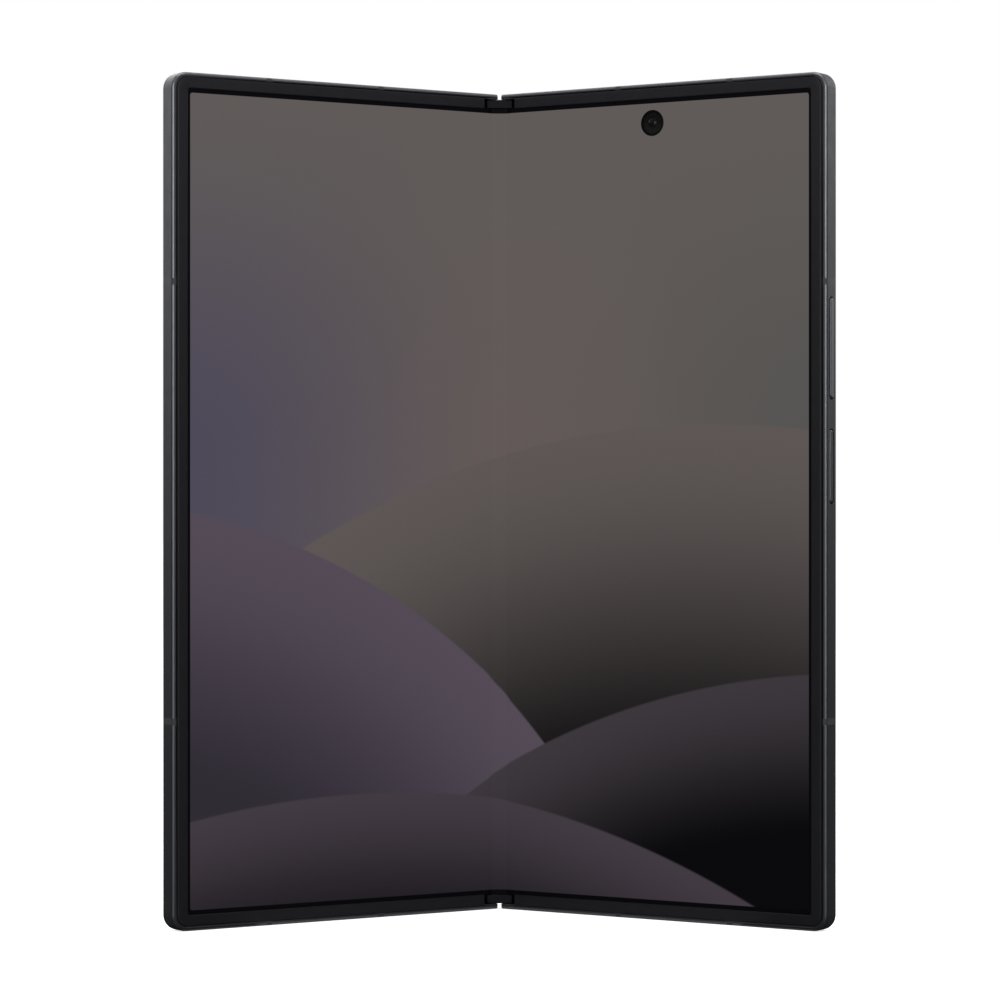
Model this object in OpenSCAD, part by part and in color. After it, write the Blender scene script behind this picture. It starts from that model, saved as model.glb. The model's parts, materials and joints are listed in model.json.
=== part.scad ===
// Folding phone with a book-style hinge, standing half open on its lower edges.
// X runs across the two halves, Y from the inner display to the back, Z along the hinge.
// Each half is drawn laid flat, with its inner face at Y 0, and is then turned about its fold axis.

/* [Body] */
// Height of the body along the hinge
body_h = 158.4; // [152:0.2:166]
// Width of one half, from the middle of the hinge to the outer edge
half_w = 71.6; // [70:0.1:76]
// Thickness of one half
thick = 4.2; // [4.15:0.05:4.6]
// Radius of the outer corners
corner_r = 3; // [2.4:0.1:4.4]
// Angle that each half is raised from flat, as drawn
fold = 32.5; // [0:0.5:55]
// Thickness of the outer wall
wall_t = 1.3; // [1.2:0.05:1.5]
// Width of the metal rim beside the display bezel
rim_w = 0.85; // [0.75:0.05:1]
// Step from the bezel down to the metal rim
rim_drop = 0.08; // [0.02:0.02:0.14]
// Width of the metal rim round the rear glass
back_rim_w = 0.6; // [0.5:0.05:0.8]
// Rounding of the front outer edge
front_edge = 0.6; // [0.4:0.05:0.65]
// Rounding of the rear outer edge
back_edge = 0.4; // [0.2:0.05:0.45]
// Thickness of the middle plate
mid_t = 0.4; // [0.3:0.05:0.5]
// Width of the metal rail along the hinge at the back
rail_w = 5.6; // [5:0.1:7]

/* [Inner display] */
// Thickness of the bezel above the display panel
bezel_t = 0.22; // [0.18:0.02:0.26]
// Width of the bezel along the outer side
bezel_w = 2.2; // [2:0.02:2.4]
// Width of the bezel along the two ends
bezel_end_w = 2; // [1.94:0.02:2.4]
// Radius of the bezel's inner corners
bezel_corner = 0.6; // [0.4:0.05:1]
// Width of the bezel's leg outside the panel
bezel_leg = 0.7; // [0.5:0.05:0.9]
// Seam between the metal rim and the bezel
bezel_seam = 0.14; // [0.08:0.02:0.2]
// Distance from the hinge's middle to the end of the bezel
bezel_end = 3.9; // [3.8:0.05:4.1]
// Thickness of the display panel
panel_t = 0.38; // [0.3:0.02:0.4]
// Thickness of the steel plate behind the panel
plate_t = 0.2; // [0.14:0.02:0.22]
// Half width of the band of display that bends
bend_w = 3; // [2.9:0.05:3.1]

/* [Hinge] */
// Depth of the two fold axes behind the bezel's face
axis_y = 1.08; // [1.04:0.01:1.1]
// Space left between the two bezels when the phone is shut
closed_gap = 0.5; // [0.46:0.02:0.6]
// Thickness of the rail where it passes behind the hinge
skin_t = 0.4; // [0.36:0.02:0.44]
// Clearance between the hinge cover and the halves
cover_gap = 0.07; // [0.05:0.01:0.1]
// Thickness of the hinge cover
cover_t = 0.35; // [0.3:0.05:0.4]
// Thickness of the walls that pass over the ends of the hinge
lip_t = 1.04; // [1:0.02:1.2]
// Distance from the hinge's middle to the front of those walls, laid flat
lip_end = 0.79; // [0.75:0.01:0.9]
// Space between those walls and the hinge's end caps
cap_gap = 0.08; // [0.06:0.02:0.2]
// Height of an end cap
cap_h = 1.7; // [1.4:0.1:1.8]
// Width of an end cap at the front
cap_w = 5; // [4.6:0.1:5.2]
// Distance of the upper and lower hinge arms from the ends of the body
arm_inset = 24; // [20:1:40]
// Length of the foot of a hinge arm
foot_l = 14; // [12:0.5:18]
// Reach of the foot from the hinge's middle
foot_reach = 11; // [10:0.5:13]
// Thickness of the foot
foot_t = 0.5; // [0.46:0.02:0.54]
// Length of the curved slider of a hinge arm
slider_l = 6; // [5:0.5:8]
// Thickness of the curved slider
slider_t = 0.5; // [0.45:0.05:0.5]
// Running clearance of the sliders
run_gap = 0.05; // [0.04:0.01:0.06]
// Module of the gear teeth
tooth_m = 0.12; // [0.118:0.001:0.122]
// Length of the gear teeth along the hinge
tooth_l = 2; // [1.6:0.2:2.4]
// Radius of the gear shafts
shaft_r = 0.25; // [0.2:0.01:0.26]

/* [Keys and ports] */
// Height of the volume key's middle above the body's middle
volume_z = 28.3; // [26:0.1:32]
// Length of the volume key
volume_l = 18.9; // [17:0.1:22]
// Height of the power key's middle above the body's middle
power_z = 6.5; // [3:0.1:8]
// Length of the power key
power_l = 13.8; // [12:0.1:16]
// Width of the keys
key_w = 1.6; // [1.4:0.05:1.8]
// Depth of the keys' middle line behind the bezel's face
key_y = 2.15; // [2.1:0.05:2.4]
// Height of the volume key above the wall
volume_rise = 0.25; // [0.25:0.05:0.4]
// Height of the power key above the wall
power_rise = 0.06; // [0.02:0.02:0.1]
// Travel of the keys
key_travel = 0.25; // [0.1:0.05:0.25]
// Clearance round the keys
key_gap = 0.06; // [0.04:0.01:0.1]
// Width of the opening of the charging port
port_w = 8.34; // [8.3:0.02:8.4]
// Height of the opening of the charging port
port_h = 2.56; // [2.5:0.02:2.58]
// Distance of the port from the outer edge of its half
port_edge = 35.6; // [31:0.1:37]
// Diameter of the loudspeaker holes
grille_d = 1.1; // [0.8:0.1:1.3]
// Distance between the loudspeaker holes
grille_step = 2.3; // [1.8:0.1:2.6]
// Width of the card tray's face
tray_w = 12.4; // [12:0.1:14]
// Length of the card tray
tray_l = 18; // [17:0.5:20]
// Distance of the card tray from the outer edge of its half
tray_edge = 31.2; // [29:0.1:35]
// Distance of the microphone hole from the outer edge
mic_edge = 47.6; // [46:0.1:50]

/* [Cameras] */
// Distance of the inner camera from the hinge's middle
inner_cam_u = 34.6; // [30:0.1:38]
// Distance of the inner camera from the top of the body
inner_cam_drop = 7.5; // [7:0.1:9]
// Diameter of the hole in the display for the inner camera
inner_cam_d = 4.8; // [4:0.1:5.2]
// Width of the rear camera island
island_w = 17; // [16:0.5:19]
// Height of the rear camera island
island_h = 50; // [48:0.5:54]
// Rise of the island above the rear glass
island_rise = 1.3; // [0.8:0.1:2]
// Distance of the island from the outer edge and from the top
island_edge = 5; // [4:0.5:7]
// Diameter of the lens rings
ring_d = 13.2; // [12:0.2:14]
// Distance between the rear lenses
lens_step = 15.4; // [14.6:0.2:16]

/* [Inside] */
// Thickness of the rear glass
glass_t = 0.5; // [0.4:0.05:0.55]
// Clearance round the glass and other seated pieces
seat_gap = 0.05; // [0.03:0.01:0.08]
// Height of the zone of the main board
board_h = 58; // [57:0.5:62]
// Height of the zone below the batteries
foot_zone = 28; // [26:0.5:32]
// Thickness of the circuit boards
board_t = 0.6; // [0.5:0.1:0.8]
// Thickness of the cell in the half with the cover display
left_cell_t = 1.65; // [1.4:0.05:1.7]
// Thickness of the cell in the half with the rear cameras
right_cell_t = 2.2; // [1.8:0.05:2.25]
// Thickness of the cover display below its glass
cover_panel_t = 0.5; // [0.4:0.05:0.6]
// Length by which the cell beside the cover display reaches past the other one
cell_extra = 17; // [12:0.5:20]
// Thickness of the magnets
magnet_t = 1.8; // [1.5:0.05:1.85]
// Length of the magnets
magnet_l = 15; // [10:0.5:17]
// Width of the magnets
magnet_w = 3; // [2:0.1:3.4]
// Distance between the magnets
magnet_step = 20; // [18:0.5:24]
// Length of a shield can
can_l = 17; // [12:0.5:18]
// Distance between the shield cans
can_step = 21; // [19:0.5:22]
// Height of the shield cans
can_h = 1.2; // [1:0.05:1.4]
// Distance of the shield cans from the edge of the board
can_edge = 2; // [1.5:0.1:2.5]
// Width of the loudspeaker box
speaker_w = 18.6; // [17:0.1:18.6]
// Length of the loudspeaker box
speaker_l = 15; // [12:0.5:18]
// Width of the vibration motor
motor_w = 12; // [10:0.5:14]
// Length of the vibration motor
motor_l = 9; // [7:0.5:10]
// Thickness of the vibration motor
motor_t = 1.8; // [1.5:0.05:1.85]
// Width of the earpiece
ear_w = 15; // [12:0.5:15]
// Height of the earpiece
ear_h = 2.2; // [1.8:0.1:2.4]
// Thickness of the earpiece
ear_t = 1.8; // [1.4:0.1:1.9]

/* [Hidden] */
$fn = 48;
mid_z = body_h / 2;
axis_x = axis_y + closed_gap / 2;
recess_r = thick - skin_t - axis_y;
cover_r = recess_r - cover_gap;
bore_r = cover_r - cover_t;
block_r = bore_r - 0.03;
slider_out = block_r - 0.22 - run_gap;
slider_in = slider_out - slider_t;
seat_y = bezel_t + panel_t + plate_t;
back_y = thick - glass_t;
mid_y = seat_y + mid_t;
seat_in = mid_y + seat_gap;
skin_u = 0.1;
foot_y = seat_y + 0.02;
foot_back = foot_y + foot_t;
cover_y = foot_back + 0.08;
block_y = axis_y + 0.04;
cap_y = 0.05;
bezel_in = rim_w + bezel_seam;
panel_in = bezel_in + bezel_leg + seat_gap;
cap_z = lip_t + cap_gap;
strip_z = cap_z + cap_h + seat_gap;
slot_gap = 0.5;
boss_y = 2.4;
screw_r = 0.5;
screw_u = foot_reach - 1.7;
screw_z = foot_l / 2 - 2;
inner_u = foot_reach + 1.5;
outer_u = half_w - wall_t - 0.5;
antenna_w = 1.2;
antenna_side = [-40.5, 40.5];
antenna_end = [half_w - 44.5, half_w - 20.3];
port_u = half_w - port_edge;
tray_u = half_w - tray_edge;
mic_u = half_w - mic_edge;
arm_z = [arm_inset, body_h - arm_inset];
inner_cam_z = body_h - inner_cam_drop;
island_u = half_w - island_edge - island_w / 2;
island_z = body_h - island_edge - 2 - island_h / 2;
board_z = body_h - board_h;
cell_outer = half_w - 6;
port_y = (seat_y + back_y) / 2;
port_shell = 0.1;
tray_h = 1.5;
tray_y = seat_in + tray_h / 2 + 0.1;
tray_bed_t = 0.8;
tray_bed_w = tray_w - 1.2;
flange_t = 0.4;
flange_w = key_w + 0.2;
switch_u = half_w - wall_t - seat_gap - flange_t - key_travel - 0.05;
speaker_u = half_w - 12;
speaker_x = half_w - wall_t - 0.5 - speaker_w;
cover_cam_u = (rail_w + half_w) / 2;
cover_cam_z = body_h - 6.5;

// The gear train: a toothed slider drives a pinion, and the pinions drive two gears that mesh
ring_n = 25;
pinion_n = 8;
sync_n = 13;
mesh_a = 50;
pinion_d = (ring_n - pinion_n) * tooth_m / 2;
pinion_x = axis_x + pinion_d * cos(mesh_a);
pinion_y = axis_y + pinion_d * sin(mesh_a);
sync_x = sync_n * tooth_m / 2;
sync_y = pinion_y + sqrt(pow((pinion_n + sync_n) * tooth_m / 2, 2) - pow(pinion_x - sync_x, 2));
web_t = 0.6;
ring_z = tooth_l / 2 + web_t + 0.2;
train_end = ring_z + tooth_l + 0.1;
bearing_l = 2.3;
washer_n = 10;
washer_t = 0.6;
washer_z = train_end + bearing_l + 0.05;
pocket_l = washer_n * (washer_t + 0.02) + 0.1;
shaft_end = washer_z + pocket_l + 1;
housing_end = shaft_end + 1.4;

block_l = slider_l + 7;
screw_places = [
  arm_z[0] - slider_l / 2 - 1.8, arm_z[0] + slider_l / 2 + 1.8,
  arm_z[1] - slider_l / 2 - 1.8, arm_z[1] + slider_l / 2 + 1.8,
  mid_z - housing_end + 2, mid_z + housing_end - 2
];

function arc(x, y, r, a, b) = [for (i = [0:8]) [x + r * cos(a + (b - a) * i / 8), y + r * sin(a + (b - a) * i / 8)]];

// Section of the outer wall: first value inward from the outer face, second from the inner display back
band = concat(
  arc(front_edge, rim_drop + front_edge, front_edge, 180, 270),
  [[rim_w, rim_drop], [rim_w, seat_y], [wall_t, seat_y], [wall_t, back_y], [back_rim_w, back_y], [back_rim_w, thick]],
  arc(back_edge, thick - back_edge, back_edge, 90, 180)
);

// Places the hinge so that the whole body is centred front to back
front_reach = axis_y - (half_w - axis_x) * sin(fold) - axis_y * cos(fold);
back_reach = axis_y + (axis_x - skin_u) * sin(fold) + (thick - axis_y) * cos(fold);
shift_y = -(front_reach + back_reach) / 2;

module spine() {
  translate([0, shift_y, 0]) children();
}

// Turns a half drawn flat on the right to its place; side -1 is the left half
module half(side) {
  mirror([side < 0 ? 1 : 0, 0, 0])
    translate([axis_x, axis_y + shift_y, 0])
      rotate([0, 0, -fold])
        translate([-axis_x, -axis_y, 0])
          children();
}

// Both ends of the body, drawn at the lower one
module both_ends() {
  for (k = [0, 1])
    translate([0, 0, k * body_h])
      mirror([0, 0, k])
        children();
}

// A sheet between two depths, drawn by its outline seen from the front
module slab(y, t) {
  translate([0, y + t, 0])
    rotate([90, 0, 0])
      linear_extrude(t)
        children();
}

module rounded(x, z, w, h, r) {
  translate([x + r, z]) square([w - 2 * r, h]);
  translate([x, z + r]) square([w, h - 2 * r]);
  for (i = [x + r, x + w - r], j = [z + r, z + h - r])
    translate([i, j]) circle(r);
}

// Outline of a half, set in from its outer side and its two ends and starting at a distance from the hinge
module outline_of(from, side_in, end_in, r) {
  translate([from, end_in]) square([half_w - side_in - r - from, body_h - 2 * end_in]);
  translate([from, end_in + r]) square([half_w - side_in - from, body_h - 2 * end_in - 2 * r]);
  for (j = [end_in + r, body_h - end_in - r])
    translate([half_w - side_in - r, j]) circle(r);
}

module outline(from, inset, r) {
  outline_of(from, inset, inset, r);
}

function corner(inset) = max(0.4, corner_r - inset);

// A pill with its axis along X, its length along Z and its width along Y
module pill_x(x, depth, y, z, w, len) {
  translate([x, y - w / 2, z - (len - w) / 2]) cube([depth, w, len - w]);
  for (k = [-1, 1])
    translate([x, y, z + k * (len - w) / 2])
      rotate([0, 90, 0]) cylinder(r = w / 2, h = depth);
}

// A pill with its axis along Z, its length along X and its width along Y
module pill_z(x, y, z, depth, w, len) {
  translate([x - (len - w) / 2, y - w / 2, z]) cube([len - w, w, depth]);
  for (k = [-1, 1])
    translate([x + k * (len - w) / 2, y, z]) cylinder(r = w / 2, h = depth);
}

// A pill with its axis along Y, its length along Z and its width along X
module pill_y(x, y, z, depth, w, len) {
  translate([x - w / 2, y, z - (len - w) / 2]) cube([w, depth, len - w]);
  for (k = [-1, 1])
    translate([x, y, z + k * (len - w) / 2])
      rotate([-90, 0, 0]) cylinder(r = w / 2, h = depth);
}

module rod_y(x, y, z, depth, r) {
  translate([x, y, z]) rotate([-90, 0, 0]) cylinder(r = r, h = depth);
}

module wedge(a, b) {
  polygon(concat([[0, 0]], [for (i = [0:6]) [9 * cos(a + (b - a) * i / 6), 9 * sin(a + (b - a) * i / 6)]]));
}

// Part of a ring about the fold axis; angles run from straight outward towards the back
module sector(r, big_r, a, b) {
  translate([axis_x, axis_y])
    intersection() {
      difference() {
        circle(big_r);
        circle(r);
      }
      wedge(a, b);
    }
}

module stadium(r, top) {
  intersection() {
    union() {
      for (k = [-1, 1])
        translate([k * axis_x, axis_y]) circle(r);
      translate([-axis_x, axis_y - r]) square([2 * axis_x, 2 * r]);
    }
    translate([-9, top]) square([18, 9]);
  }
}

// Frames

module band_walls() {
  translate([0, 0, corner_r])
    linear_extrude(body_h - 2 * corner_r)
      polygon([for (p = band) [half_w - p[0], p[1]]]);
  both_ends() {
    translate([half_w - corner_r, 0, corner_r])
      rotate([-90, 0, 0])
        rotate_extrude(angle = 90) polygon([for (p = band) [corner_r - p[0], p[1]]]);
    translate([half_w - corner_r, 0, 0])
      rotate([0, -90, 0])
        linear_extrude(half_w - corner_r - skin_u) polygon(band);
  }
}

// The wall beside the hinge and the rail behind it
module hinge_wall() {
  translate([0, 0, 0.5])
    linear_extrude(body_h - 1)
      polygon([
        [skin_u, thick - 0.15], [skin_u + 0.15, thick], [rail_w, thick], [rail_w, back_y],
        [rail_w + 0.7, back_y], [rail_w + 0.7, seat_y], [skin_u, seat_y]
      ]);
}

// Clearance round the hinge, kept while the half turns
module hinge_recess() {
  translate([0, 0, lip_t])
    linear_extrude(body_h - 2 * lip_t) {
      translate([axis_x, axis_y]) circle(recess_r);
      translate([-1, -1]) square([axis_x + 1, axis_y + recess_r + 1]);
    }
  translate([-1, -1, -1]) cube([lip_end + 1, axis_y + recess_r + 1, body_h + 2]);
}

module arm_pockets() {
  for (z = [arm_z[0], mid_z, arm_z[1]])
    translate([axis_x, seat_y - 0.5, z - foot_l / 2 - seat_gap])
      cube([foot_reach + seat_gap - axis_x, foot_back + 0.03 - seat_y + 0.5, foot_l + 2 * seat_gap]);
}

module arm_screw_holes() {
  for (z = [arm_z[0], mid_z, arm_z[1]], k = [-1, 1])
    rod_y(screw_u, seat_y, z + k * screw_z, 1.45, screw_r);
}

module bosses() {
  for (z = [arm_z[0], mid_z, arm_z[1]])
    translate([rail_w, seat_y, z - foot_l / 2 - 1])
      cube([foot_reach + 0.8 - rail_w, boss_y - seat_y, foot_l + 2]);
}

module break_boxes(margin) {
  for (z = antenna_side)
    translate([half_w - wall_t, -1, mid_z + z - antenna_w / 2]) cube([margin, thick + 2, antenna_w]);
  both_ends()
    for (u = antenna_end)
      translate([u - antenna_w / 2, -1, wall_t - margin]) cube([antenna_w, thick + 2, margin]);
}

module frame_blank() {
  difference() {
    union() {
      band_walls();
      hinge_wall();
      bosses();
      translate([rail_w, seat_y, 0.8 * wall_t])
        cube([half_w - 0.8 * wall_t - rail_w, mid_t, body_h - 1.6 * wall_t]);
      both_ends()
        translate([lip_end, rim_drop, 0.5])
          cube([bezel_end - bezel_seam - lip_end, seat_y - rim_drop + 0.1, lip_t - 0.5]);
    }
    hinge_recess();
    arm_pockets();
    arm_screw_holes();
    break_boxes(wall_t + 1);
  }
}

module breaks() {
  for (z = antenna_side)
    translate([0, 0, mid_z + z - antenna_w / 2])
      linear_extrude(antenna_w) polygon([for (p = band) [half_w - p[0], p[1]]]);
  both_ends()
    for (u = antenna_end)
      translate([u + antenna_w / 2, 0, 0])
        rotate([0, -90, 0])
          linear_extrude(antenna_w) polygon(band);
}

module left_frame() {
  color([0.27, 0.28, 0.3]) half(-1)
    difference() {
      frame_blank();
      pill_z(tray_u, tray_y, -1, wall_t + 2, tray_h + 2 * seat_gap, tray_w + 2 * seat_gap);
      translate([mic_u, port_y, -1]) cylinder(r = 0.4, h = wall_t + 2);
    }
}

module right_frame() {
  color([0.27, 0.28, 0.3]) half(1)
    difference() {
      frame_blank();
      pill_x(half_w - wall_t - 1, wall_t + 2, key_y, mid_z + volume_z, key_w + 2 * key_gap, volume_l + 2 * key_gap);
      pill_x(half_w - wall_t - 1, wall_t + 2, key_y, mid_z + power_z, key_w + 2 * key_gap, power_l + 2 * key_gap);
      pill_z(port_u, port_y, -1, 9, port_h + 2 * port_shell + 0.02, port_w + 2 * port_shell + 0.02);
      for (k = [-3:2])
        translate([speaker_u + (k + 0.5) * grille_step, port_y, -1]) cylinder(r = grille_d / 2, h = wall_t + 2);
      translate([mic_u, port_y, -1]) cylinder(r = 0.4, h = wall_t + 2);
      rod_y(inner_cam_u, seat_y - 1, inner_cam_z, mid_t + 2, inner_cam_d / 2 + 0.6);
      pill_y(island_u, seat_y, island_z, mid_t + 1, island_w - 4, island_h - 4);
    }
}

module left_antenna_breaks() {
  color([0.33, 0.34, 0.37]) half(-1) breaks();
}

module right_antenna_breaks() {
  color([0.33, 0.34, 0.37]) half(1) breaks();
}

// Inner display

module bezel_ring() {
  slab(0, bezel_t)
    difference() {
      outline(bezel_end, bezel_in, corner(bezel_in));
      outline_of(bezel_end - 1, bezel_in + bezel_w, bezel_in + bezel_end_w, bezel_corner);
    }
  slab(bezel_t, seat_y - bezel_t)
    difference() {
      outline(bezel_end, bezel_in, corner(bezel_in));
      outline(bezel_end - 1, bezel_in + bezel_leg, corner(bezel_in + bezel_leg));
    }
}

module panel_outline() {
  difference() {
    outline(bend_w, panel_in, corner(panel_in));
    for (z = [0, body_h - strip_z])
      translate([bend_w - 1, z]) square([1 + bezel_end + slot_gap - bend_w, strip_z]);
  }
}

module left_bezel() {
  color([0.13, 0.13, 0.14]) half(-1) bezel_ring();
}

module right_bezel() {
  color([0.13, 0.13, 0.14]) half(1) bezel_ring();
}

module left_display() {
  color([0.32, 0.3, 0.34]) half(-1) slab(bezel_t, panel_t) panel_outline();
}

module right_display() {
  color([0.32, 0.3, 0.34]) half(1)
    slab(bezel_t, panel_t)
      difference() {
        panel_outline();
        translate([inner_cam_u, inner_cam_z]) circle(inner_cam_d / 2);
      }
}

module left_display_plate() {
  color([0.6, 0.6, 0.62]) half(-1) slab(bezel_t + panel_t, plate_t) panel_outline();
}

module right_display_plate() {
  color([0.6, 0.6, 0.62]) half(1)
    slab(bezel_t + panel_t, plate_t)
      difference() {
        panel_outline();
        translate([inner_cam_u, inner_cam_z]) circle(inner_cam_d / 2 + 0.1);
      }
}

// A point of the bending band: its turn grows smoothly from the middle to the half
function turned(u, y) =
  let (t = abs(u) / bend_w, w = fold * t * t * (3 - 2 * t), x = abs(u) - axis_x, d = y - axis_y)
    [sign(u) * (axis_x + x * cos(w) + d * sin(w)), axis_y - x * sin(w) + d * cos(w)];

module display_fold() {
  color([0.3, 0.28, 0.32]) spine()
    translate([0, 0, strip_z])
      linear_extrude(body_h - 2 * strip_z)
        polygon(concat(
          [for (i = [-12:12]) turned(i * (bend_w - 0.02) / 12, bezel_t)],
          [for (i = [12:-1:-12]) turned(i * (bend_w - 0.02) / 12, seat_y)]
        ));
}

// Hinge

module hinge_cover() {
  color([0.25, 0.26, 0.28]) spine()
    difference() {
      translate([0, 0, cap_z + cap_h])
        linear_extrude(body_h - 2 * cap_z - 2 * cap_h)
          difference() {
            stadium(cover_r, cover_y);
            stadium(bore_r, 0);
          }
      for (z = screw_places)
        rod_y(0, axis_y + bore_r - 1, z, 1 + cover_t - 0.1, 0.42);
    }
}

module hinge_caps() {
  color([0.24, 0.25, 0.27]) spine()
    both_ends()
      translate([0, 0, cap_z])
        linear_extrude(cap_h) {
          stadium(cover_r, cover_y);
          translate([-cap_w / 2, cap_y]) square([cap_w, cover_y + 0.5 - cap_y]);
        }
}

module block_outline() {
  stadium(block_r, cover_y);
  translate([run_gap - axis_x - slider_in, block_y])
    square([2 * (axis_x + slider_in - run_gap), cover_y + 0.4 - block_y]);
}

module screw_seats() {
  for (z = screw_places) {
    rod_y(0, block_y - 1, z, 1.3, 0.75);
    rod_y(0, block_y, z, 9, 0.42);
  }
}

module slider_slots(a, b, z, len) {
  translate([0, 0, z])
    linear_extrude(len)
      sector(slider_in - run_gap, slider_out + run_gap, a, b);
}

module hinge_guides() {
  color([0.5, 0.5, 0.52]) spine()
    difference() {
      for (z = arm_z)
        translate([0, 0, z - block_l / 2]) linear_extrude(block_l) block_outline();
      for (z = arm_z, k = [0, 1])
        mirror([k, 0, 0])
          slider_slots(-40, 112, z - slider_l / 2 - run_gap, slider_l + 2 * run_gap);
      screw_seats();
    }
}

// The train is drawn on the right; on the left it is turned over end for end
module train(side) {
  spine()
    translate([0, 0, mid_z])
      mirror([side < 0 ? 1 : 0, 0, 0])
        mirror([0, 0, side < 0 ? 1 : 0])
          children();
}

module train_space() {
  root_r = ring_n * tooth_m / 2 - 1.25 * tooth_m;
  translate([0, 0, ring_z - 0.05])
    linear_extrude(tooth_l + 0.1) {
      sector(root_r, slider_out + run_gap, -40, 162);
      translate([pinion_x, pinion_y]) circle(pinion_n * tooth_m / 2 + tooth_m + 0.03);
    }
  translate([0, 0, -tooth_l / 2 - 0.05])
    linear_extrude(tooth_l + 0.1) {
      translate([pinion_x, pinion_y]) circle(pinion_n * tooth_m / 2 + tooth_m + 0.03);
      translate([sync_x, sync_y]) circle(sync_n * tooth_m / 2 + tooth_m + 0.03);
    }
  translate([pinion_x, pinion_y, 0]) {
    cylinder(r = pinion_n * tooth_m / 2 + tooth_m + 0.03, h = ring_z + tooth_l);
    translate([0, 0, -tooth_l / 2 - web_t + 0.1]) cylinder(r = shaft_r + 0.04, h = housing_end);
    translate([0, 0, washer_z]) cylinder(r = 0.62, h = pocket_l);
    translate([0, 0, washer_z]) cylinder(r = shaft_r + 0.04, h = pocket_l + 1.2);
  }
  translate([sync_x, sync_y, -tooth_l / 2 - web_t + 0.1])
    cylinder(r = shaft_r + 0.04, h = tooth_l + 2 * web_t - 0.2);
}

module gear_housing() {
  color([0.5, 0.5, 0.52])
    difference() {
      spine()
        translate([0, 0, mid_z - housing_end])
          linear_extrude(2 * housing_end) block_outline();
      train(1) train_space();
      train(-1) train_space();
      spine() screw_seats();
    }
}

module friction_washers() {
  color([0.75, 0.75, 0.76])
    for (side = [-1, 1])
      train(side)
        for (i = [0:washer_n - 1])
          translate([pinion_x, pinion_y, washer_z + 0.05 + i * (washer_t + 0.02)])
            difference() {
              cylinder(r = 0.56, h = washer_t);
              translate([0, 0, -1]) cylinder(r = shaft_r + 0.04, h = washer_t + 2);
            }
}

module hinge_screws() {
  color([0.7, 0.7, 0.72]) spine()
    for (z = screw_places) {
      rod_y(0, block_y + 0.08, z, 0.22, 0.68);
      rod_y(0, block_y + 0.3, z, axis_y + bore_r + cover_t - 0.12 - block_y - 0.3, 0.4);
    }
}

// Points of a gear's outline with its first tooth at an angle; add is negative for inward teeth
function teeth(n, add, first) =
  [for (i = [0:n - 1], k = [0:3])
    let (p = 360 / n, a = first + p * (i + [-0.3, -0.14, 0.14, 0.3][k]))
      let (r = n * tooth_m / 2 + ((k == 0 || k == 3) ? -1.1 : 0.85) * add)
        [r * cos(a), r * sin(a)]];

// Direction from a pinion to the gear that it drives
link_a = atan2(sync_y - pinion_y, sync_x - pinion_x);

// Angle of the first tooth of each gear, so that all mesh; the left train is half a tooth on
function ring_first(side) = mesh_a + (side < 0 ? -180 / ring_n : 0);
function pinion_first(side) = mesh_a + (ring_first(side) - fold - mesh_a) * ring_n / pinion_n + 180 / pinion_n;
function sync_first(side) = link_a + 180 - (pinion_first(side) - link_a) * pinion_n / sync_n + 180 / sync_n;

module pinion(side) {
  train(side)
    translate([pinion_x, pinion_y, 0]) {
      translate([0, 0, -tooth_l / 2])
        linear_extrude(ring_z + tooth_l * 1.5) polygon(teeth(pinion_n, tooth_m, pinion_first(side)));
      translate([0, 0, 0.15 - tooth_l / 2 - web_t]) cylinder(r = shaft_r, h = shaft_end + 0.7);
    }
}

module left_pinion() {
  color([0.72, 0.7, 0.66]) pinion(-1);
}

module right_pinion() {
  color([0.72, 0.7, 0.66]) pinion(1);
}

module sync_gear(side) {
  train(side)
    translate([sync_x, sync_y, 0]) {
      translate([0, 0, -tooth_l / 2])
        linear_extrude(tooth_l) polygon(teeth(sync_n, tooth_m, sync_first(side)));
      translate([0, 0, 0.15 - tooth_l / 2 - web_t]) cylinder(r = shaft_r, h = tooth_l + 2 * web_t - 0.3);
    }
}

module left_sync_gear() {
  color([0.72, 0.7, 0.66]) sync_gear(-1);
}

module right_sync_gear() {
  color([0.72, 0.7, 0.66]) sync_gear(1);
}

module foot(z) {
  difference() {
    translate([axis_x + slider_in, foot_y, z - foot_l / 2])
      cube([foot_reach - axis_x - slider_in, foot_t, foot_l]);
    for (k = [-1, 1]) {
      rod_y(screw_u, foot_y - 1, z + k * screw_z, foot_t + 2, screw_r + 0.05);
      rod_y(screw_u, foot_y - 1, z + k * screw_z, 1.26, 0.86);
    }
  }
}

module plain_arms() {
  for (z = arm_z) {
    foot(z);
    translate([0, 0, z - slider_l / 2])
      linear_extrude(slider_l) sector(slider_in, slider_out, -5, 102);
  }
}

module geared_arm(side) {
  foot(mid_z);
  translate([0, 0, side > 0 ? mid_z + ring_z : mid_z - ring_z - tooth_l])
    linear_extrude(tooth_l)
      translate([axis_x, axis_y])
        intersection() {
          difference() {
            circle(slider_out);
            polygon(teeth(ring_n, -tooth_m, ring_first(side)));
          }
          wedge(-5, 152);
        }
}

module arm_screws() {
  for (z = [arm_z[0], mid_z, arm_z[1]], k = [-1, 1]) {
    rod_y(screw_u, foot_y + 0.02, z + k * screw_z, 0.23, 0.8);
    rod_y(screw_u, foot_y + 0.25, z + k * screw_z, 1.1, screw_r - 0.02);
  }
}

module left_arms() {
  color([0.55, 0.55, 0.57]) half(-1) plain_arms();
}

module right_arms() {
  color([0.55, 0.55, 0.57]) half(1) plain_arms();
}

module left_geared_arm() {
  color([0.55, 0.55, 0.57]) half(-1) geared_arm(-1);
}

module right_geared_arm() {
  color([0.55, 0.55, 0.57]) half(1) geared_arm(1);
}

module left_arm_screws() {
  color([0.7, 0.7, 0.72]) half(-1) arm_screws();
}

module right_arm_screws() {
  color([0.7, 0.7, 0.72]) half(1) arm_screws();
}

// Rear glass and cover display

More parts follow.
